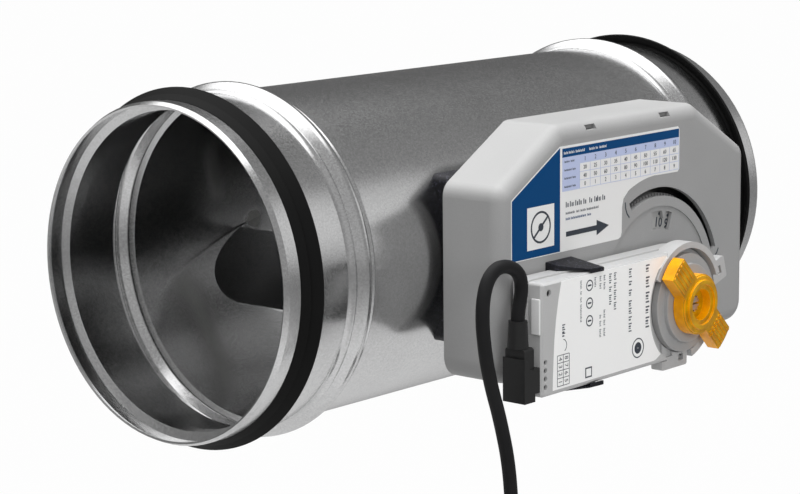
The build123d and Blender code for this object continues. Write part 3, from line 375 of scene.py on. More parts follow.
# %% Rubber
def rubber(name, colour, rough):
    surface = Surface(name, specular_ior_level=0.14)
    bloom = surface.noise(0.02, detail=4.0)
    grain = surface.noise(0.0006)
    tint = surface.ramp(bloom, (0.3, colour), (0.8, tuple(c * 1.5 for c in colour)))
    surface.bump(grain, 0.00003, 0.3)
    return surface.use(base_color=tint, roughness=(rough - 0.06) + bloom * 0.12)


seal_rubber = rubber("seal_rubber", (0.004, 0.004, 0.004), 0.62)
cord_rubber = rubber("cord_rubber", (0.010, 0.010, 0.0105), 0.50)
print("finishes", seal_rubber.name, cord_rubber.name)


# %% [markdown]
# ## Amber knob
#
# The knob is a translucent orange-yellow plastic with a polished surface. Light enters it and
# leaves it again tinted, so it glows a little. A tint that drifts between deep and light amber,
# a faint painted glow from emission and a thin gloss coat give that without the cost of real
# transmission.
# Its front faces get a darker tone as painted shade, because the light there goes into the depth
# of the knob.

# %% Translucent amber
def amber(name, deep, light, glow):
    """An amber between a deep and a light tone, with a painted glow from emission."""
    knob = Surface(name, specular_ior_level=0.4, coat_weight=0.08, coat_roughness=0.08,
                   emission_color=(1.0, 0.40, 0.0), emission_strength=glow)
    flow = knob.noise(0.007, detail=3.0)
    tint = knob.ramp(flow, (0.35, deep), (0.65, light))
    return knob.use(base_color=tint, roughness=0.18 + flow * 0.12)


# Both ambers carry a faint painted glow from emission.
amber_plastic = amber("amber_plastic", (0.62, 0.24, 0.0), (0.84, 0.36, 0.0), 0.12)
# The darker amber is painted shade for the faces that look to the front.
amber_shaded_face = amber("amber_shaded_face", (0.36, 0.17, 0.0), (0.56, 0.31, 0.0), 0.04)
print("finishes", amber_plastic.name, amber_shaded_face.name)

# %% [markdown]
# ## Brass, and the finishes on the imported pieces
#
# The cam's roller is turned from brass. With it every finish is there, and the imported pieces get
# theirs. The blade and the shaft's bushes look like the duct's own sheet. Pieces that are
# replaced further down get their finish there.

# %% Brass for the roller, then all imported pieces
def turned_brass():
    brass = Surface("turned_brass", metallic=1.0)
    grain = brass.noise(0.0008)
    tint = brass.ramp(grain, (0.3, (0.60, 0.42, 0.16)), (0.7, (0.76, 0.57, 0.26)))
    return brass.use(base_color=tint, roughness=0.22 + grain * 0.15)


roller_brass = turned_brass()
finishes = {
    steel_sheet: ("damper_blade", "front_shaft_bush", "rear_shaft_bush"),
    zinc_plating: ("base_screws", "rocker_pin", "damper_shaft", "blade_rivets", "damper_lever",
                   "lever_pin", "shaft_clip", "setpoint_spindle", "spring_rocker", "roller_pin",
                   "tension_spring", "lead_ferrules"),
    housing_grey: ("housing_cover",),
    base_grey: ("housing_base",),
    dial_grey: ("toothed_dial",),
    scale_grey: ("scale_plate",),
    cam_white: ("setpoint_cam",),
    plug_black: ("strain_relief", "coil_tie"),
    lead_red: ("wire_leads",),
    saddle_black: ("mounting_saddle",),
    seal_rubber: ("inlet_seal", "outlet_seal"),
    roller_brass: ("cam_roller",),
}
for material, names in finishes.items():
    paint(material, *names)
    print(material.name, "on", len(names), "packed pieces")

# %% [markdown]
# ## Rounded edges
#
# Rolled sheet and moulded plastic have no knife edges, and a rounded edge is what catches the
# light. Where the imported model's edge is sharp and in plain view, a copy of the piece takes its
# place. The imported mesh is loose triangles, so the copy's corners are merged first, or no
# operator would find its edges.

# %% A merged copy of a node, and a piece in a node's place
MERGE = 0.000002                       # metres: corners nearer than this become one


def merged_copy(node):
    """A node's mesh as a bmesh, the corners of its loose triangles merged."""
    shape = bmesh.new()
    shape.from_mesh(nodes[node].data)
    bmesh.ops.remove_doubles(shape, verts=shape.verts[:], dist=MERGE)
    return shape


def put_in_place(shape, node, material, body):
    """Makes a bmesh the piece that is seen in a node's place."""
    data = bpy.data.meshes.new(node + "_rounded")
    for face in shape.faces:
        face.smooth = True
        face.material_index = 0
    shape.to_mesh(data)
    shape.free()
    data.materials.append(material)
    piece = add_object(node + "_rounded", data)
    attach(piece, body)
    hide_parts(node)
    print(piece.name, len(data.polygons), "faces")
    return piece


# %% [markdown]
# ## Moulded pieces with rounded edges
#
# On the actuator, its holder, the hub and the plug every corner is a little round. A Bevel
# modifier finds these corners by their angle, and Weighted Normal keeps the flats between them
# flat. Bevelling by hand in bmesh would need a list of edges for each piece.

# %% Bevel and Weighted Normal on the moulded pieces
def round_edges(piece, width, least, miter):
    """Adds a Bevel modifier that rounds the edges sharper than least degrees."""
    edge = piece.modifiers.new("edge", "BEVEL")
    edge.width = width
    edge.segments = 2
    edge.limit_method = "ANGLE"
    edge.angle_limit = math.radians(least)
    edge.miter_outer = miter
    edge.loop_slide = False


def keep_flats(piece):
    """Adds a Weighted Normal modifier, so that big faces stay flat beside rounded edges."""
    flats = piece.modifiers.new("flats", "WEIGHTED_NORMAL")
    flats.keep_sharp = True
    flats.weight = 100


PLASTIC_CORNER = 28.0                  # degrees: a sharper edge of a moulded piece is rounded
moulded_pieces = (                     # node, width in metres, finish, body, slot
    ("actuator_cover", 0.0004, actuator_grey, "duct", "actuator_plastic"),
    ("actuator_base", 0.0004, actuator_grey, "duct", "actuator_plastic"),
    ("upper_end_stop", 0.0003, actuator_grey, "duct", "actuator_plastic"),
    ("lower_end_stop", 0.0003, actuator_grey, "duct", "actuator_plastic"),
    ("end_clip", 0.0003, clip_grey, "duct", "actuator_plastic"),
    ("drive_hub", 0.0003, hub_grey, "setpoint", "hub_plastic"),
    ("actuator_holder", 0.0003, saddle_black, "duct", "holder_plastic"),
    ("connector_plug", 0.0004, plug_black, "duct", "plug_plastic"),
    ("plug_cover", 0.0003, plug_black, "duct", "plug_plastic"),
)
for node, width, material, body, slot in moulded_pieces:
    moulded_piece = put_in_place(merged_copy(node), node, material, body)
    round_edges(moulded_piece, width, PLASTIC_CORNER, "MITER_ARC")
    keep_flats(moulded_piece)

# %% [markdown]
# ## The knob
#
# The knob has fine splines and grip ribs, which a wide bevel would melt together, so its edges
# are rounded by less than a fifth of a millimetre. The faces that look to the front get the
# darker of the two ambers, as painted shade.

# %% Knob in two tones, the darker one painted shade on the front faces
KNOB_EDGE = 0.00018
KNOB_CORNER = 50.0
knob = put_in_place(merged_copy("clamp_knob"), "clamp_knob", amber_plastic, "setpoint")
knob.data.materials.append(amber_shaded_face)
# Faces that look to the front get the painted shade amber.
for face in knob.data.polygons:
    face.use_smooth = False
    face.material_index = 1 if face.normal.y < -0.6 else 0
round_edges(knob, KNOB_EDGE, KNOB_CORNER, "MITER_SHARP")
print("knob", sum(face.material_index for face in knob.data.polygons), "deeper faces")

# %% [markdown]
# ## The duct's beads and grooves
#
# Rollers press the stop beads and the seal grooves into the tube, so each bend round it is a
# soft curve, while the flats between stay crisp. The bends are whole rings of edges. They are
# found by their place along the duct and their radius, and bevelled one group after another,
# because they need different widths. The duct's flat triangles are joined first, so that a ring
# has clean faces beside it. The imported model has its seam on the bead's crest. It is filled
# here, and the ledge beside it is drawn down into the crease that the real bead has.

# %% Rings of the duct, and the bead's outline in millimetres
SPIGOT_R = 79.6
BEAD_MIDDLE = 49.5                     # station of the inlet's bead
GROOVE_EDGES = (9.8, 19.5)             # stations of the edges of the inlet's seal groove
FOOT, LEDGE, CREST = (7.8, 0.0), (6.5, 2.5), (1.5, 5.0)  # distance from the middle, height
BEAD_MOVES = (                         # distance, slack, least height, new height
    (0.0, 0.1, 4.2, 5.1),              # the seam's bottom is lifted
    (0.4, 0.1, 4.8, 5.1),              # and so are its edges
    (4.8, 0.2, 2.3, 1.4),              # the ledge's inner end is drawn down into a crease
)
SAME_X = 0.00001                       # metres: both ends of a ring's edge are this near in X
bead_middles = (BEAD_MIDDLE, duct_length / MM - BEAD_MIDDLE)


def bead_rings(away, height):
    """The station and radius, in metres, of one outline point on both sides of both beads."""
    return [(station(middle + side * away), (SPIGOT_R + height) * MM)
            for middle in bead_middles for side in (-1, 1)]


def is_ring(edge):
    near, far = (v.co for v in edge.verts)
    return abs(near.x - far.x) <= SAME_X


def ring_edges(shape, places):
    """The edges round the duct that lie at one of the places, each a station and a radius."""
    found = []
    for edge in filter(is_ring, shape.edges):
        near, far = (v.co for v in edge.verts)
        radius = max(math.hypot(near.y, near.z), math.hypot(far.y, far.z))
        if any(abs(near.x - x) < 0.0001 and abs(radius - r) < 0.0002 for x, r in places):
            found.append(edge)
    return found


def sharp_edges(shape, least):
    return [e for e in shape.edges if e.is_manifold and e.calc_face_angle() > math.radians(least)]


def shift_seam(shape, middle):
    """Fills a bead's seam and draws the end of its ledge down into a crease."""
    moved = 0
    for v in shape.verts:
        radius = math.hypot(v.co.y, v.co.z)
        away = abs(v.co.x - station(middle)) / MM
        for distance, slack, least, height in BEAD_MOVES:
            if abs(away - distance) < slack and radius / MM - SPIGOT_R > least:
                v.co.y *= (SPIGOT_R + height) * MM / radius
                v.co.z *= (SPIGOT_R + height) * MM / radius
                moved += 1
                break
    print("bead at", middle, "corners moved", moved)


# %% Duct with rounded beads and grooves
FLAT = 0.25                            # degrees: triangles that differ less are joined
BEND = 5.0                             # degrees: a sharper ring stays crisp, unless rounded
CRISP = 40.0                           # degrees: what is sharper afterwards stays crisp
duct_shape = merged_copy("duct_tube")
bmesh.ops.dissolve_limit(duct_shape, angle_limit=math.radians(FLAT), verts=duct_shape.verts[:],
                         edges=duct_shape.edges[:])
for middle in bead_middles:
    shift_seam(duct_shape, middle)
groove_stations = GROOVE_EDGES + tuple(duct_length / MM - s for s in GROOVE_EDGES)
ring_groups = (                        # places, bevel width in metres, segments
    (bead_rings(*FOOT), 0.0017, 4),
    (bead_rings(*CREST), 0.0009, 3),
    (bead_rings(*LEDGE), 0.0006, 3),
    ([(station(s), SPIGOT_R * MM) for s in groove_stations], 0.0004, 3),
)
rounded_rings = set()
for places, width, segments in ring_groups:
    rounded_rings.update(ring_edges(duct_shape, places))
for edge in sharp_edges(duct_shape, BEND):
    edge.smooth = not is_ring(edge) or edge in rounded_rings
for places, width, segments in ring_groups:
    rings = ring_edges(duct_shape, places)
    bmesh.ops.bevel(duct_shape, geom=rings, offset=width, offset_type="OFFSET",
                    segments=segments, profile=0.5, affect="EDGES", material=-1,
                    clamp_overlap=True)
    print("rings of", len(rings), "edges rounded by", width)
for edge in sharp_edges(duct_shape, CRISP):
    edge.smooth = False
keep_flats(put_in_place(duct_shape, "duct_tube", steel_sheet, "duct"))

# %% [markdown]
# ## The floor
#
# The photograph is a cut-out on white. The controller hangs in a duct run, so the floor lies far
# below it. The camera has to see white there, while the sheet metal has to mirror a grey floor
# that grows darker with the distance: its grey is painted shade away from a paler middle. The
# Light Path node tells the two kinds of ray apart: the camera's rays meet a white glow, nearly
# all others meet the grey paint.

# %% Floor
FLOOR_Z = -0.62
FLOOR_HALF = 15.0
FLOOR_MIDDLE_X = 0.2
CAMERA_RAY, GLOSSY_RAY = 0, 3          # outputs of the Light Path node
floor_mesh = bmesh.new()
bmesh.ops.create_grid(floor_mesh, x_segments=1, y_segments=1, size=FLOOR_HALF,
                      matrix=Matrix.Translation((FLOOR_MIDDLE_X, 0.0, FLOOR_Z)))
floor_data = bpy.data.meshes.new("floor")
floor_mesh.to_mesh(floor_data)
floor_mesh.free()
floor = add_object("floor", floor_data)

floor_paint = Surface("floor_paint", roughness=0.9)
floor_away = floor_paint.node("ShaderNodeVectorMath", {"operation": "LENGTH"},
                              {0: floor_paint.place()}, out=1)
# Painted shade: the floor's grey is paler near the middle and darker far out.
near_grey, far_grey = (0.45, (0.44, 0.44, 0.44)), (0.80, (0.23, 0.23, 0.23))
floor_paint.use(base_color=floor_paint.ramp(floor_away * 0.5, near_grey, far_grey))
to_camera = floor_paint.node("ShaderNodeLightPath", out=CAMERA_RAY)
to_mirror = floor_paint.node("ShaderNodeLightPath", out=GLOSSY_RAY)
white_glow = floor_paint.node("ShaderNodeEmission", None, {"Color": (1, 1, 1), "Strength": 1.0})
painted = Value(floor_paint, floor_paint.shader.outputs[0])
shown = floor_paint.node("ShaderNodeMixShader", None, {
    0: to_camera * 0.98 + to_mirror * 0.02, 1: painted, 2: white_glow})
floor_paint.feed(floor_paint.tree.nodes["Material Output"].inputs["Surface"], shown)
floor_data.materials.append(floor_paint.material)
print("floor at", FLOOR_Z)

# %% [markdown]
# ## The dome
#
# What sheet metal looks like is what it mirrors, and the photograph shows a studio: dim all
# round and paler in front, a bright patch overhead, a softer one at the side, and a faint light
# from the inlet's side. An image of a real studio would bring its own shapes along, so the
# world's brightness is worked out here from the direction of each ray. The camera sees white.

# %% World: white for the camera, a soft dome for the object
world = bpy.data.worlds.new("studio")
scene.world = world
world.use_nodes = True
SIDE_PATCH = (0.741, -0.600, 0.300)    # direction of the softer patch


class Sky(Surface):
    """The world's nodes, with the same helpers as a material's."""

    def __init__(self, shown_world):
        self.tree = shown_world.node_tree
        self.shader = self.tree.nodes["Background"]


sky = Sky(world)
direction = sky.node("ShaderNodeTexCoord")
ahead, behind, rise = (sky.node("ShaderNodeSeparateXYZ", None, {0: direction}, out=axis)
                       for axis in range(3))
around = sky.spread(behind, (-0.6, 0.6), (0.29, 0.09))
overhead = sky.spread(rise + behind * 0.3, (0.74, 0.87), (0.0, 1.7), smooth=True)
sideways = sky.node("ShaderNodeVectorMath", {"operation": "DOT_PRODUCT"},
                    {0: direction, 1: SIDE_PATCH}, out=1)
beside = sky.spread(sideways, (0.935, 1.0), (0.0, 0.42), smooth=True)
inlet_side = sky.math("MAXIMUM", 0 - ahead, 0.0) * 0.18
level = around + overhead + beside + inlet_side
seen = sky.node("ShaderNodeLightPath", out=CAMERA_RAY)
mirrored = sky.node("ShaderNodeLightPath", out=GLOSSY_RAY)
sky.feed(sky.shader.inputs["Color"], sky.mix(seen + mirrored * 0.03, level, (1, 1, 1)))
sky.feed(sky.shader.inputs["Strength"], 1.0)
print("world", world.name, len(sky.tree.nodes), "nodes")

# %% [markdown]
# ## The lamps
#
# A large soft box overhead and a smaller one in front give the plastics their shading. They
# don't show in reflections, because the dome already draws what the metal mirrors. Sun lamps
# would give hard shadows that the photograph doesn't have.

# %% Lamps
def soft_lamp(name, place, target, size, watts):
    """A square area lamp that faces a target and doesn't show in reflections."""
    lamp = bpy.data.lights.new(name, "AREA")
    lamp.energy = watts
    lamp.size = size
    lamp_object = add_object(name, lamp)
    lamp_object.location = place
    aim = Vector(target) - Vector(place)
    lamp_object.rotation_euler = aim.to_track_quat("-Z", "Y").to_euler()
    lamp_object.visible_glossy = False
    print(name, watts, "watts")


lit_place = (0.16, -0.03, 0.0)
soft_lamp("top_lamp", (0.1, -0.1, 1.7), lit_place, 2.0, 48.0)
soft_lamp("front_lamp", (-0.7, -1.9, 0.7), lit_place, 1.0, 17.0)
scene.view_settings.view_transform = "Standard"

# %% [markdown]
# ## The supply cord
#
# The actuator's lead is about a metre of round, rubber-jacketed cord, 6.4 mm thick. It comes up
# out of the plug's sleeve, turns over in a tight loop and hangs down. These points follow its
# middle line in the photograph. Few points would round the tight loop off, so they lie close
# together there.

# %% The cord's route, from inside the sleeve down to the coil
cord_diameter = 0.0064
sleeve_low, sleeve_high = (Vector(corner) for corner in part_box("strain_relief"))
exit_point = Vector(((sleeve_low.x + sleeve_high.x) / 2, (sleeve_low.y + sleeve_high.y) / 2,
                     sleeve_high.z))
route_steps = [                        # metres: along X and Y from the exit, then the height
    (0.0, 0.0, -0.0205),
    (0.0002, 0.0, -0.0165),
    (0.0022, 0.0, -0.0100),
    (0.0028, 0.0, -0.0040),
    (0.0008, 0.0, 0.0012),
    (-0.0040, 0.0003, 0.0046),
    (-0.0100, 0.0006, 0.0060),
    (-0.0159, 0.0009, 0.0050),
    (-0.0209, 0.0012, 0.0),
    (-0.0234, 0.0013, -0.0080),
    (-0.0239, 0.0013, -0.0165),
    (-0.0232, 0.0013, -0.0245),
    (-0.0212, 0.0013, -0.0360),
    (-0.0174, 0.0012, -0.0495),
    (-0.0120, 0.0010, -0.0640),
    (-0.0056, 0.0006, -0.0880),
    (-0.0042, 0.0, -0.1160),
]
route = [Vector((exit_point.x + dx, exit_point.y + dy, z)) for dx, dy, z in route_steps]
print("exit", tuple(exit_point), "route", len(route), "points")

# %% [markdown]
# ## The coil and the tail
#
# What the photograph doesn't show of the cord is wound in a tied coil of four turns below, with
# three bare wire leads at its end. The turns lie in a bundle two strands wide and two deep, and
# the cord slips over to the next place near the end of each turn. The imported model's ring gives
# the coil's place and size.

# %% Turns of the coil, and the tail
COIL_TURNS = 4
POINTS_PER_TURN = 16
STRAND_PLACES = [(1, 1), (1, -1), (-1, -1), (-1, 1)]
TAIL_DROP = 0.016                      # from the last turn down to the tail's first point
TAIL_STRAIGHT = 0.006                  # the last stretch, which points straight down
coil_low, coil_high = (Vector(corner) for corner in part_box("cord_coil"))
coil_middle = (coil_low + coil_high) / 2
coil_bundle = (coil_high.y - coil_low.y) / 2
coil_turn = (coil_high.x - coil_low.x) / 2 - coil_bundle
strand = cord_diameter * 0.51          # from the bundle's middle to a strand's, each way
turns = []
for i in range(COIL_TURNS * POINTS_PER_TURN + 1):
    progress = i / POINTS_PER_TURN
    lap = min(int(progress), COIL_TURNS - 1)
    part = progress - lap
    here = Vector(STRAND_PLACES[lap % 4])
    following = Vector(STRAND_PLACES[(lap + 1) % 4])
    ease = max(0.0, part * 4 - 3) if lap < COIL_TURNS - 1 else 0.0
    across = here.lerp(following, ease * ease * (3 - 2 * ease)) * strand
    angle = -2 * math.pi * progress
    radius = coil_turn + across.x
    turns.append(coil_middle + Vector((radius * math.cos(angle), across.y,
                                       radius * math.sin(angle))))
tail_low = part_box("cord_tail")[0][2]
tail_x = coil_middle.x + coil_turn
tail = [Vector((turns[-1].x, turns[-1].y, turns[-1].z - TAIL_DROP)),
        Vector((tail_x, coil_middle.y, tail_low + TAIL_STRAIGHT)),
        Vector((tail_x, coil_middle.y, tail_low))]
cord_points = route + turns + tail
print("coil", tuple(coil_middle), coil_turn, coil_bundle, "tail ends at", tail_low)

# %% [markdown]
# ## The jacket
#
# The jacket is one tube round this line. A NURBS curve with a round bevel keeps the line smooth
# and its thickness even, where a chain of cylinders would show its joints. A copy of the curve
# without its bevel is made into a mesh of the cord's middle line.

# %% The cord as one curve
cord_curve = bpy.data.curves.new("supply_cord_jacket", "CURVE")
cord_curve.dimensions = "3D"
cord_curve.bevel_depth = cord_diameter / 2
cord_curve.bevel_resolution = 6
cord_curve.use_fill_caps = True
cord_curve.resolution_u = 12
spline = cord_curve.splines.new("NURBS")
spline.points.add(len(cord_points) - 1)
for point, place in zip(spline.points, cord_points):
    point.co = (*place, 1.0)
spline.order_u = 3
spline.use_endpoint_u = True
cord_piece = add_object("supply_cord_jacket", cord_curve)
cord_curve.materials.append(cord_rubber)
print("cord with", len(cord_points), "points")

# %% A mesh of the cord's middle line, and the cord on the duct in place of the imported pieces
bare = cord_curve.copy()
bare.bevel_depth = 0.0
bare_object = bpy.data.objects.new("bare_line", bare)
line_mesh = bpy.data.meshes.new_from_object(bare_object)
bpy.data.objects.remove(bare_object)
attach(cord_piece, "duct")
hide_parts("supply_cord", "cord_coil", "cord_tail")

# %% [markdown]
# ## Printed labels
#
# The housing and the actuator carry film labels. A label is built as thin solid shapes on its
# face: a white sheet, coloured areas on it, and the print on top, each a few hundredths of a
# millimetre in front of the last so that none of them flicker. An image on the face would blur
# close up and need its own mapping. The wording of the real labels is left off. Rows of small
# strokes stand for the words, and the table holds plain numbers.

# %% A print: flat shapes, rings and numbers on a face that looks to the front
PRINT_STEP = 0.00004                   # metres from one layer of print to the next
PRINT_GAP = 0.00001
STROKE_PITCH = 0.50                    # in letter heights, from one stroke to the next
STROKE_HEIGHTS = (1.0, 0.72, 0.72, 0.95, 0.70)
STROKE_WIDTHS = (0.52, 0.66, 0.38)


def arc_points(centre, radius, start, end, steps):
    """Points of an arc, as stations and heights, angles in degrees from +X."""
    points = []
    for i in range(steps + 1):
        angle = math.radians(start + (end - start) * i / steps)
        points.append((centre[0] + radius * math.cos(angle), centre[1] + radius * math.sin(angle)))
    return points


class Print:
    """Thin shapes on a flat front face. Places are stations and heights in millimetres."""

    def __init__(self, name, face_y, *inks):
        self.name = name
        self.face_y = face_y
        self.inks = inks
        self.shapes = bmesh.new()

    def tell_ink(self, before, ink):
        self.shapes.faces.ensure_lookup_table()
        for face in self.shapes.faces[before:]:
            face.material_index = self.inks.index(ink)

    def shape(self, points, ink, level=1):
        """A flat outline, extruded forwards by one print step."""
        before = len(self.shapes.faces)
        y = self.face_y - PRINT_GAP - level * PRINT_STEP
        corners = [self.shapes.verts.new((station(s), y, z * MM)) for s, z in points]
        outline = self.shapes.faces.new(corners)
        grown = bmesh.ops.extrude_face_region(self.shapes, geom=[outline], use_keep_orig=True)
        moved = [g for g in grown["geom"] if isinstance(g, bmesh.types.BMVert)]
        bmesh.ops.translate(self.shapes, vec=(0, -PRINT_STEP * 0.9, 0), verts=moved)
        self.tell_ink(before, ink)

    def bar(self, left, low, right, high, ink, level=1):
        self.shape([(left, low), (right, low), (right, high), (left, high)], ink, level)

    def line(self, points, width, ink, level=1):
        """A stroke along points, as one bar shape for each run."""
        for (s0, z0), (s1, z1) in zip(points, points[1:]):
            x, z = Vector((z0 - z1, s1 - s0)).normalized() * width / 2
            self.shape([(s0 - x, z0 - z), (s1 - x, z1 - z), (s1 + x, z1 + z), (s0 + x, z0 + z)],
                       ink, level)

    def ring(self, centre, outer, inner, ink, level=1):
        """A ring, as two halves."""
        for start in (0, 180):
            self.shape(arc_points(centre, outer, start, start + 180, 20)
                       + arc_points(centre, inner, start + 180, start, 20), ink, level)

    def words(self, left, low, height, lengths, ink, gap, level=2, down=False):
        """Rows of small strokes that stand for a line of words, along +X or downwards."""
        along = left
        pitch = height * STROKE_PITCH
        for length in lengths:
            for i in range(max(2, round(length / pitch))):
                tall = height * STROKE_HEIGHTS[i % len(STROKE_HEIGHTS)]
                near = i * pitch
                far = near + pitch * STROKE_WIDTHS[i % len(STROKE_WIDTHS)]
                if down:
                    self.bar(low, along - far, low + tall, along - near, ink, level)
                else:
                    self.bar(along + near, low, along + far, low + tall, ink, level)
            along += (-1 if down else 1) * (length + gap)

    def number(self, words, size, centre, ink, level, turn=0.0, heavy=0.0):
        """A number, made a mesh and laid flat. Size is the letter height in millimetres."""
        letters = bpy.data.curves.new(self.name + "_number", "FONT")
        letters.body = words
        letters.size = size * MM
        letters.align_x = "CENTER"
        letters.align_y = "CENTER"
        letters.resolution_u = 3
        letters.extrude = PRINT_STEP * 0.45
        letters.offset = heavy * MM
        carrier = bpy.data.objects.new(self.name + "_number", letters)
        flat = bpy.data.meshes.new_from_object(carrier)
        spin = math.radians(turn)
        axes = Matrix(((math.cos(spin), 0, math.sin(spin)),
                       (-math.sin(spin), 0, math.cos(spin)), (0, -1, 0))).transposed()
        y = self.face_y - PRINT_GAP - (level + 0.5) * PRINT_STEP
        place = Matrix.Translation((station(centre[0]), y, centre[1] * MM))
        flat.transform(place @ axes.to_4x4())
        before = len(self.shapes.faces)
        self.shapes.from_mesh(flat)
        self.tell_ink(before, ink)
        bpy.data.objects.remove(carrier)

    def make(self, body):
        """Closes the print as one object that rides on a body."""
        bmesh.ops.recalc_face_normals(self.shapes, faces=self.shapes.faces[:])
        data = bpy.data.meshes.new(self.name)
        self.shapes.to_mesh(data)
        self.shapes.free()
        for ink in self.inks:
            data.materials.append(ink)
        piece = add_object(self.name, data)
        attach(piece, body)
        print(self.name, len(data.polygons), "faces")


# %% [markdown]
# ## The housing's label
#
# A white film follows the housing's slanted corner and, at its right, the curve of the dial's
# slot. It has a blue field at its left and a table at its top. All its places are stations and
# heights in millimetres, read off the photograph with the fitted camera.

# %% Housing label: outline, blue field and table
TABLE_LEFT, TABLE_FIRST, TABLE_RIGHT = 147.4, 161.0, 243.1
TABLE_ROWS = (51.9, 47.7, 43.6, 39.6, 35.7, 31.7)
TABLE_COLUMNS = 10
LINE_HALF = 0.12                       # half the width of the table's lines
column = (TABLE_RIGHT - TABLE_FIRST) / TABLE_COLUMNS
housing_label = Print("housing_label", housing_face_y, label_white, label_blue, label_pale,
                      ink_and_painted_shade, label_text)
housing_label.shape(
    [(108.9, 4.4), (108.9, 32.0), (145.4, 53.1), (242.2, 53.1), (243.6, 51.7), (243.6, 31.8),
     (242.2, 30.4), (226.0, 30.6)]
    + arc_points(SPINDLE, 61.8, 92, 113, 10)
    + [(196.4, 22.4), (195.2, 18.4), (195.0, 6.0), (194.1, 3.9), (192.0, 3.1), (110.2, 3.1)],
    label_white, level=0)
housing_label.shape([(109.4, 4.4), (109.4, 31.6), (145.7, 52.5), (145.7, 3.5), (110.3, 3.5)],
                    label_blue)
housing_label.bar(TABLE_LEFT, TABLE_ROWS[1], TABLE_RIGHT, TABLE_ROWS[0], label_blue)
housing_label.bar(TABLE_LEFT, TABLE_ROWS[2], TABLE_RIGHT, TABLE_ROWS[1], label_pale)
housing_label.bar(TABLE_LEFT, TABLE_ROWS[5], TABLE_FIRST, TABLE_ROWS[2], label_pale)
for z in TABLE_ROWS[3:]:
    housing_label.bar(TABLE_LEFT, z - LINE_HALF, TABLE_RIGHT, z + LINE_HALF, label_pale, level=2)
for i in range(TABLE_COLUMNS + 1):
    s = TABLE_FIRST + i * column
    housing_label.bar(s - LINE_HALF, TABLE_ROWS[5], s + LINE_HALF, TABLE_ROWS[2], label_pale,
                      level=2)
print("table with", TABLE_COLUMNS, "columns of", round(column, 2), "mm")

# %% Housing label: words and numbers of the table
housing_label.words(148.6, 49.1, 1.3, (3.0, 4.6, 7.0), label_white, gap=0.8)
housing_label.words(168.4, 49.1, 1.3, (4.4, 2.2, 5.6), label_white, gap=0.8)
for row, low in enumerate(TABLE_ROWS[2:]):
    row_words = (5.6, 2.4) if row else (4.2, 3.2)
    housing_label.words(149.0, low + 1.5, 1.0, row_words, label_text, level=3, gap=0.7)
table_numbers = (                      # height, letter height, the numbers from left to right
    (45.5, 2.9, range(1, 11)),
    (41.5, 2.7, range(20, 70, 5)),
    (37.5, 2.7, range(40, 140, 10)),
    (33.6, 2.7, range(0, 10)),
)
for i in range(TABLE_COLUMNS):
    for z, size, numbers in table_numbers:
        housing_label.number(str(numbers[i]), size, (TABLE_FIRST + (i + 0.5) * column, z),
                             ink_and_painted_shade, level=3)
print("numbers", len(table_numbers) * TABLE_COLUMNS)

# %% [markdown]
# ## Signs on the housing, and painted shade at the slot's ends
#
# On the label's blue field stands the sign of a damper. Below the table come three lines of
# words and an arrow for the air flow. Two short dark strokes on the bare housing are painted
# shade in the narrow gaps round the ends of the dial's slot.

# %% Housing label: damper sign, lines of words, an air-flow arrow and painted shade at the slot's ends
SIGN = (130.9, 17.1)
ARROW = [(150.3, 9.9), (174.5, 9.9), (174.5, 7.4), (184.4, 11.1), (174.5, 14.8), (174.5, 12.3),
         (150.3, 12.3)]
housing_label.bar(120.7, 7.1, 141.1, 27.1, label_white, level=2)
housing_label.ring(SIGN, 7.6, 6.6, ink_and_painted_shade, level=3)
housing_label.line([(125.6, 12.6), (136.2, 21.6)], 1.1, ink_and_painted_shade, level=4)
housing_label.ring(SIGN, 1.9, 0.4, ink_and_painted_shade, level=5)
label_lines = (                        # left, low, letter height, word lengths, ink, gap
    (150.1, 23.9, 2.6, (2.4, 3.4, 2.0, 2.8, 2.2), label_text, 0.8),
    (168.6, 23.9, 2.6, (3.2, 1.4, 3.4, 3.0), label_text, 0.8),
    (150.1, 20.5, 1.2, (7.4, 2.4, 4.0, 9.4), label_text, 0.9),
    (150.1, 17.8, 1.2, (3.4, 12.2, 3.0), label_blue, 0.7),
)
for left, low, height, lengths, ink, gap in label_lines:
    housing_label.words(left, low, height, lengths, ink, gap=gap)
housing_label.shape(ARROW, ink_and_painted_shade, level=2)
# Painted shade: two dark strokes in the gaps round the ends of the dial's slot.
for slot_end_shade in ([(197.9, 20.3), (198.2, 17.4), (199.4, 14.6), (201.4, 12.4)],
                 [(279.6, -13.3), (278.3, -15.6), (276.1, -17.0), (273.4, -16.9)]):
    housing_label.line(slot_end_shade, 0.8, ink_and_painted_shade, level=0)
housing_label.make("duct")

# %% [markdown]
# ## The actuator's label
#
# The actuator's film covers most of its front and is cut round the collar. It is read from the
# side, so its words run downwards. The film ends a little above the actuator's lower edge.

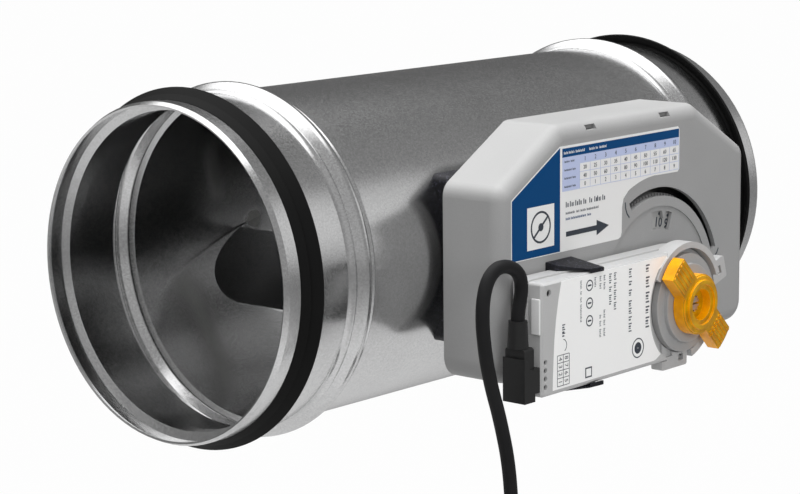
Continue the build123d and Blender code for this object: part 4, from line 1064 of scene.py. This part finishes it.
# %% Actuator label: film and words
LABEL_FACE_Y = -0.136
actuator_label = Print("actuator_label", LABEL_FACE_Y, film_white, ink_and_painted_shade, label_text)
actuator_label.shape(
    [(123.2, -5.0), (120.9, -13.6), (119.1, -22.7), (117.9, -31.8), (117.3, -40.9),
     (116.8, -50.0), (116.6, -55.6), (197.0, -55.6), (199.0, -55.2), (203.0, -53.2)]
    + arc_points(SPINDLE, 31.2, 226, 140, 18)
    + [(206.6, -9.4), (208.2, -7.0), (207.4, -5.4), (205.6, -5.0)], film_white, level=0)
downward_lines = (                     # top, station, letter height, word lengths, gap
    (-7.2, 190.0, 3.0, (5.0, 6.6, 6.0, 4.4, 6.4), 0.9),
    (-7.2, 176.1, 2.4, (4.8, 3.0, 4.0, 6.6, 2.0, 4.6), 1.2),
    (-7.2, 164.0, 2.0, (4.0, 2.6, 5.0, 3.8), 0.9),
    (-7.2, 160.2, 2.0, (5.4, 3.0, 4.6), 0.9),
    (-7.2, 155.8, 1.4, (2.6, 3.4), 0.9),
    (-23.8, 155.8, 1.4, (4.0, 3.0, 4.4), 0.9),
    (-7.2, 152.6, 1.4, (2.6, 3.0), 0.9),
    (-25.8, 152.6, 1.4, (2.0, 3.0, 4.4), 0.9),
    (-7.2, 148.6, 1.4, (4.6,), 1.0),
    (-7.2, 137.6, 1.2, (4.2, 2.0, 2.4, 8.4), 0.9),
)
for top, s, height, lengths, gap in downward_lines:
    actuator_label.words(top, s, height, lengths, label_text, level=1, gap=gap, down=True)
print("downward lines", len(downward_lines))

# %% Actuator label: signs and a table of numbers
ROUND_SIGN = (183.8, -46.9)
SMALL_ROWS = (-39.8, -43.4, -47.0, -50.6, -54.3)
SMALL_COLUMNS = (120.1, 124.6, 129.2)
SMALL_HALF = 0.15                      # half the width of the small table's lines
for z in (-10.4, -18.8, -27.2):
    actuator_label.ring((144.8, z), 2.7, 2.1, ink_and_painted_shade)
    actuator_label.bar(143.4, z - 0.4, 146.2, z + 0.4, ink_and_painted_shade)
actuator_label.ring(ROUND_SIGN, 4.9, 4.3, ink_and_painted_shade)
actuator_label.ring(ROUND_SIGN, 2.8, 0.3, ink_and_painted_shade)
actuator_label.bar(141.6, -54.2, 146.8, -49.2, ink_and_painted_shade)
actuator_label.bar(142.3, -53.5, 146.1, -49.9, film_white, level=2)
for z in SMALL_ROWS:
    actuator_label.bar(SMALL_COLUMNS[0], z - SMALL_HALF, SMALL_COLUMNS[-1], z + SMALL_HALF,
                       ink_and_painted_shade)
for s in SMALL_COLUMNS:
    actuator_label.bar(s - SMALL_HALF, SMALL_ROWS[-1], s + SMALL_HALF, SMALL_ROWS[0],
                       ink_and_painted_shade, level=2)
for i, row_top in enumerate(SMALL_ROWS[:-1]):
    for first, s in ((4, 122.35), (8, 126.9)):
        actuator_label.number(str(first - i), 3.6, (s, row_top - 1.8), ink_and_painted_shade, turn=-90,
                              level=1)
actuator_label.words(-25.6, 123.8, 2.2, (1.6, 1.2, 2.2), label_text, level=1, gap=0.6, down=True)
actuator_label.line(arc_points((124.2, -35.6), 3.0, 80, -60, 8), 0.4, ink_and_painted_shade)
actuator_label.make("duct")

# %% [markdown]
# ## Painted shade in the small holes
#
# A release button and four signal lamps sit behind round holes in the actuator's shell. They
# look dark in the photograph. Deep narrow holes in pale plastic would stay too light, because
# light bounces about in them, so a dark disc of painted shade lies a little behind the label's
# face in each.

# %% Dark discs of painted shade in the holes
HOLE_DEPTH = 0.0013
holes = [(113.8, -9.4, 1.55)]          # station, height, radius: the button, then the lamps
holes += [(111.3, z, 1.15) for z in (-41.25, -45.15, -49.05, -52.95)]
hole_floors = Print("hole_floors", LABEL_FACE_Y + HOLE_DEPTH, painted_hole_shade)
for s, z, radius in holes:
    hole_floors.shape(arc_points((s, z), radius, 0, 345, 23), painted_hole_shade, level=0)
hole_floors.make("duct")

# %% [markdown]
# ## The scale
#
# The scale plate turns with the spindle, and the window shows about two of its numbers at a
# time. They are printed on the plate and ride on the same body, so they turn with it. A picture
# of the window alone would be wrong as soon as the plate turned.

# %% Numbers and marks on the set-point scale
SCALE_ZERO = 81.7                      # degrees at which the highest number stands at rest
SCALE_PITCH = 10.3                     # degrees from one number to the next
HIGHEST = 10
NUMBER_RING, MARK_RING = 37.4, 41.8    # distances from the spindle's middle
scale_print = Print("scale_print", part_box("scale_plate")[0][1], ink_and_painted_shade)
for number in range(1, HIGHEST + 1):
    angle = SCALE_ZERO - (HIGHEST - number) * SCALE_PITCH
    number_place = arc_points(SPINDLE, NUMBER_RING, angle, angle, 1)[0]
    mark_place = arc_points(SPINDLE, MARK_RING, angle, angle, 1)[0]
    scale_print.number(str(number), 6.8, number_place, ink_and_painted_shade, turn=angle - 90, level=0,
                       heavy=0.14)
    scale_print.ring(mark_place, 0.75, 0.05, ink_and_painted_shade, level=0)
scale_print.make("setpoint")
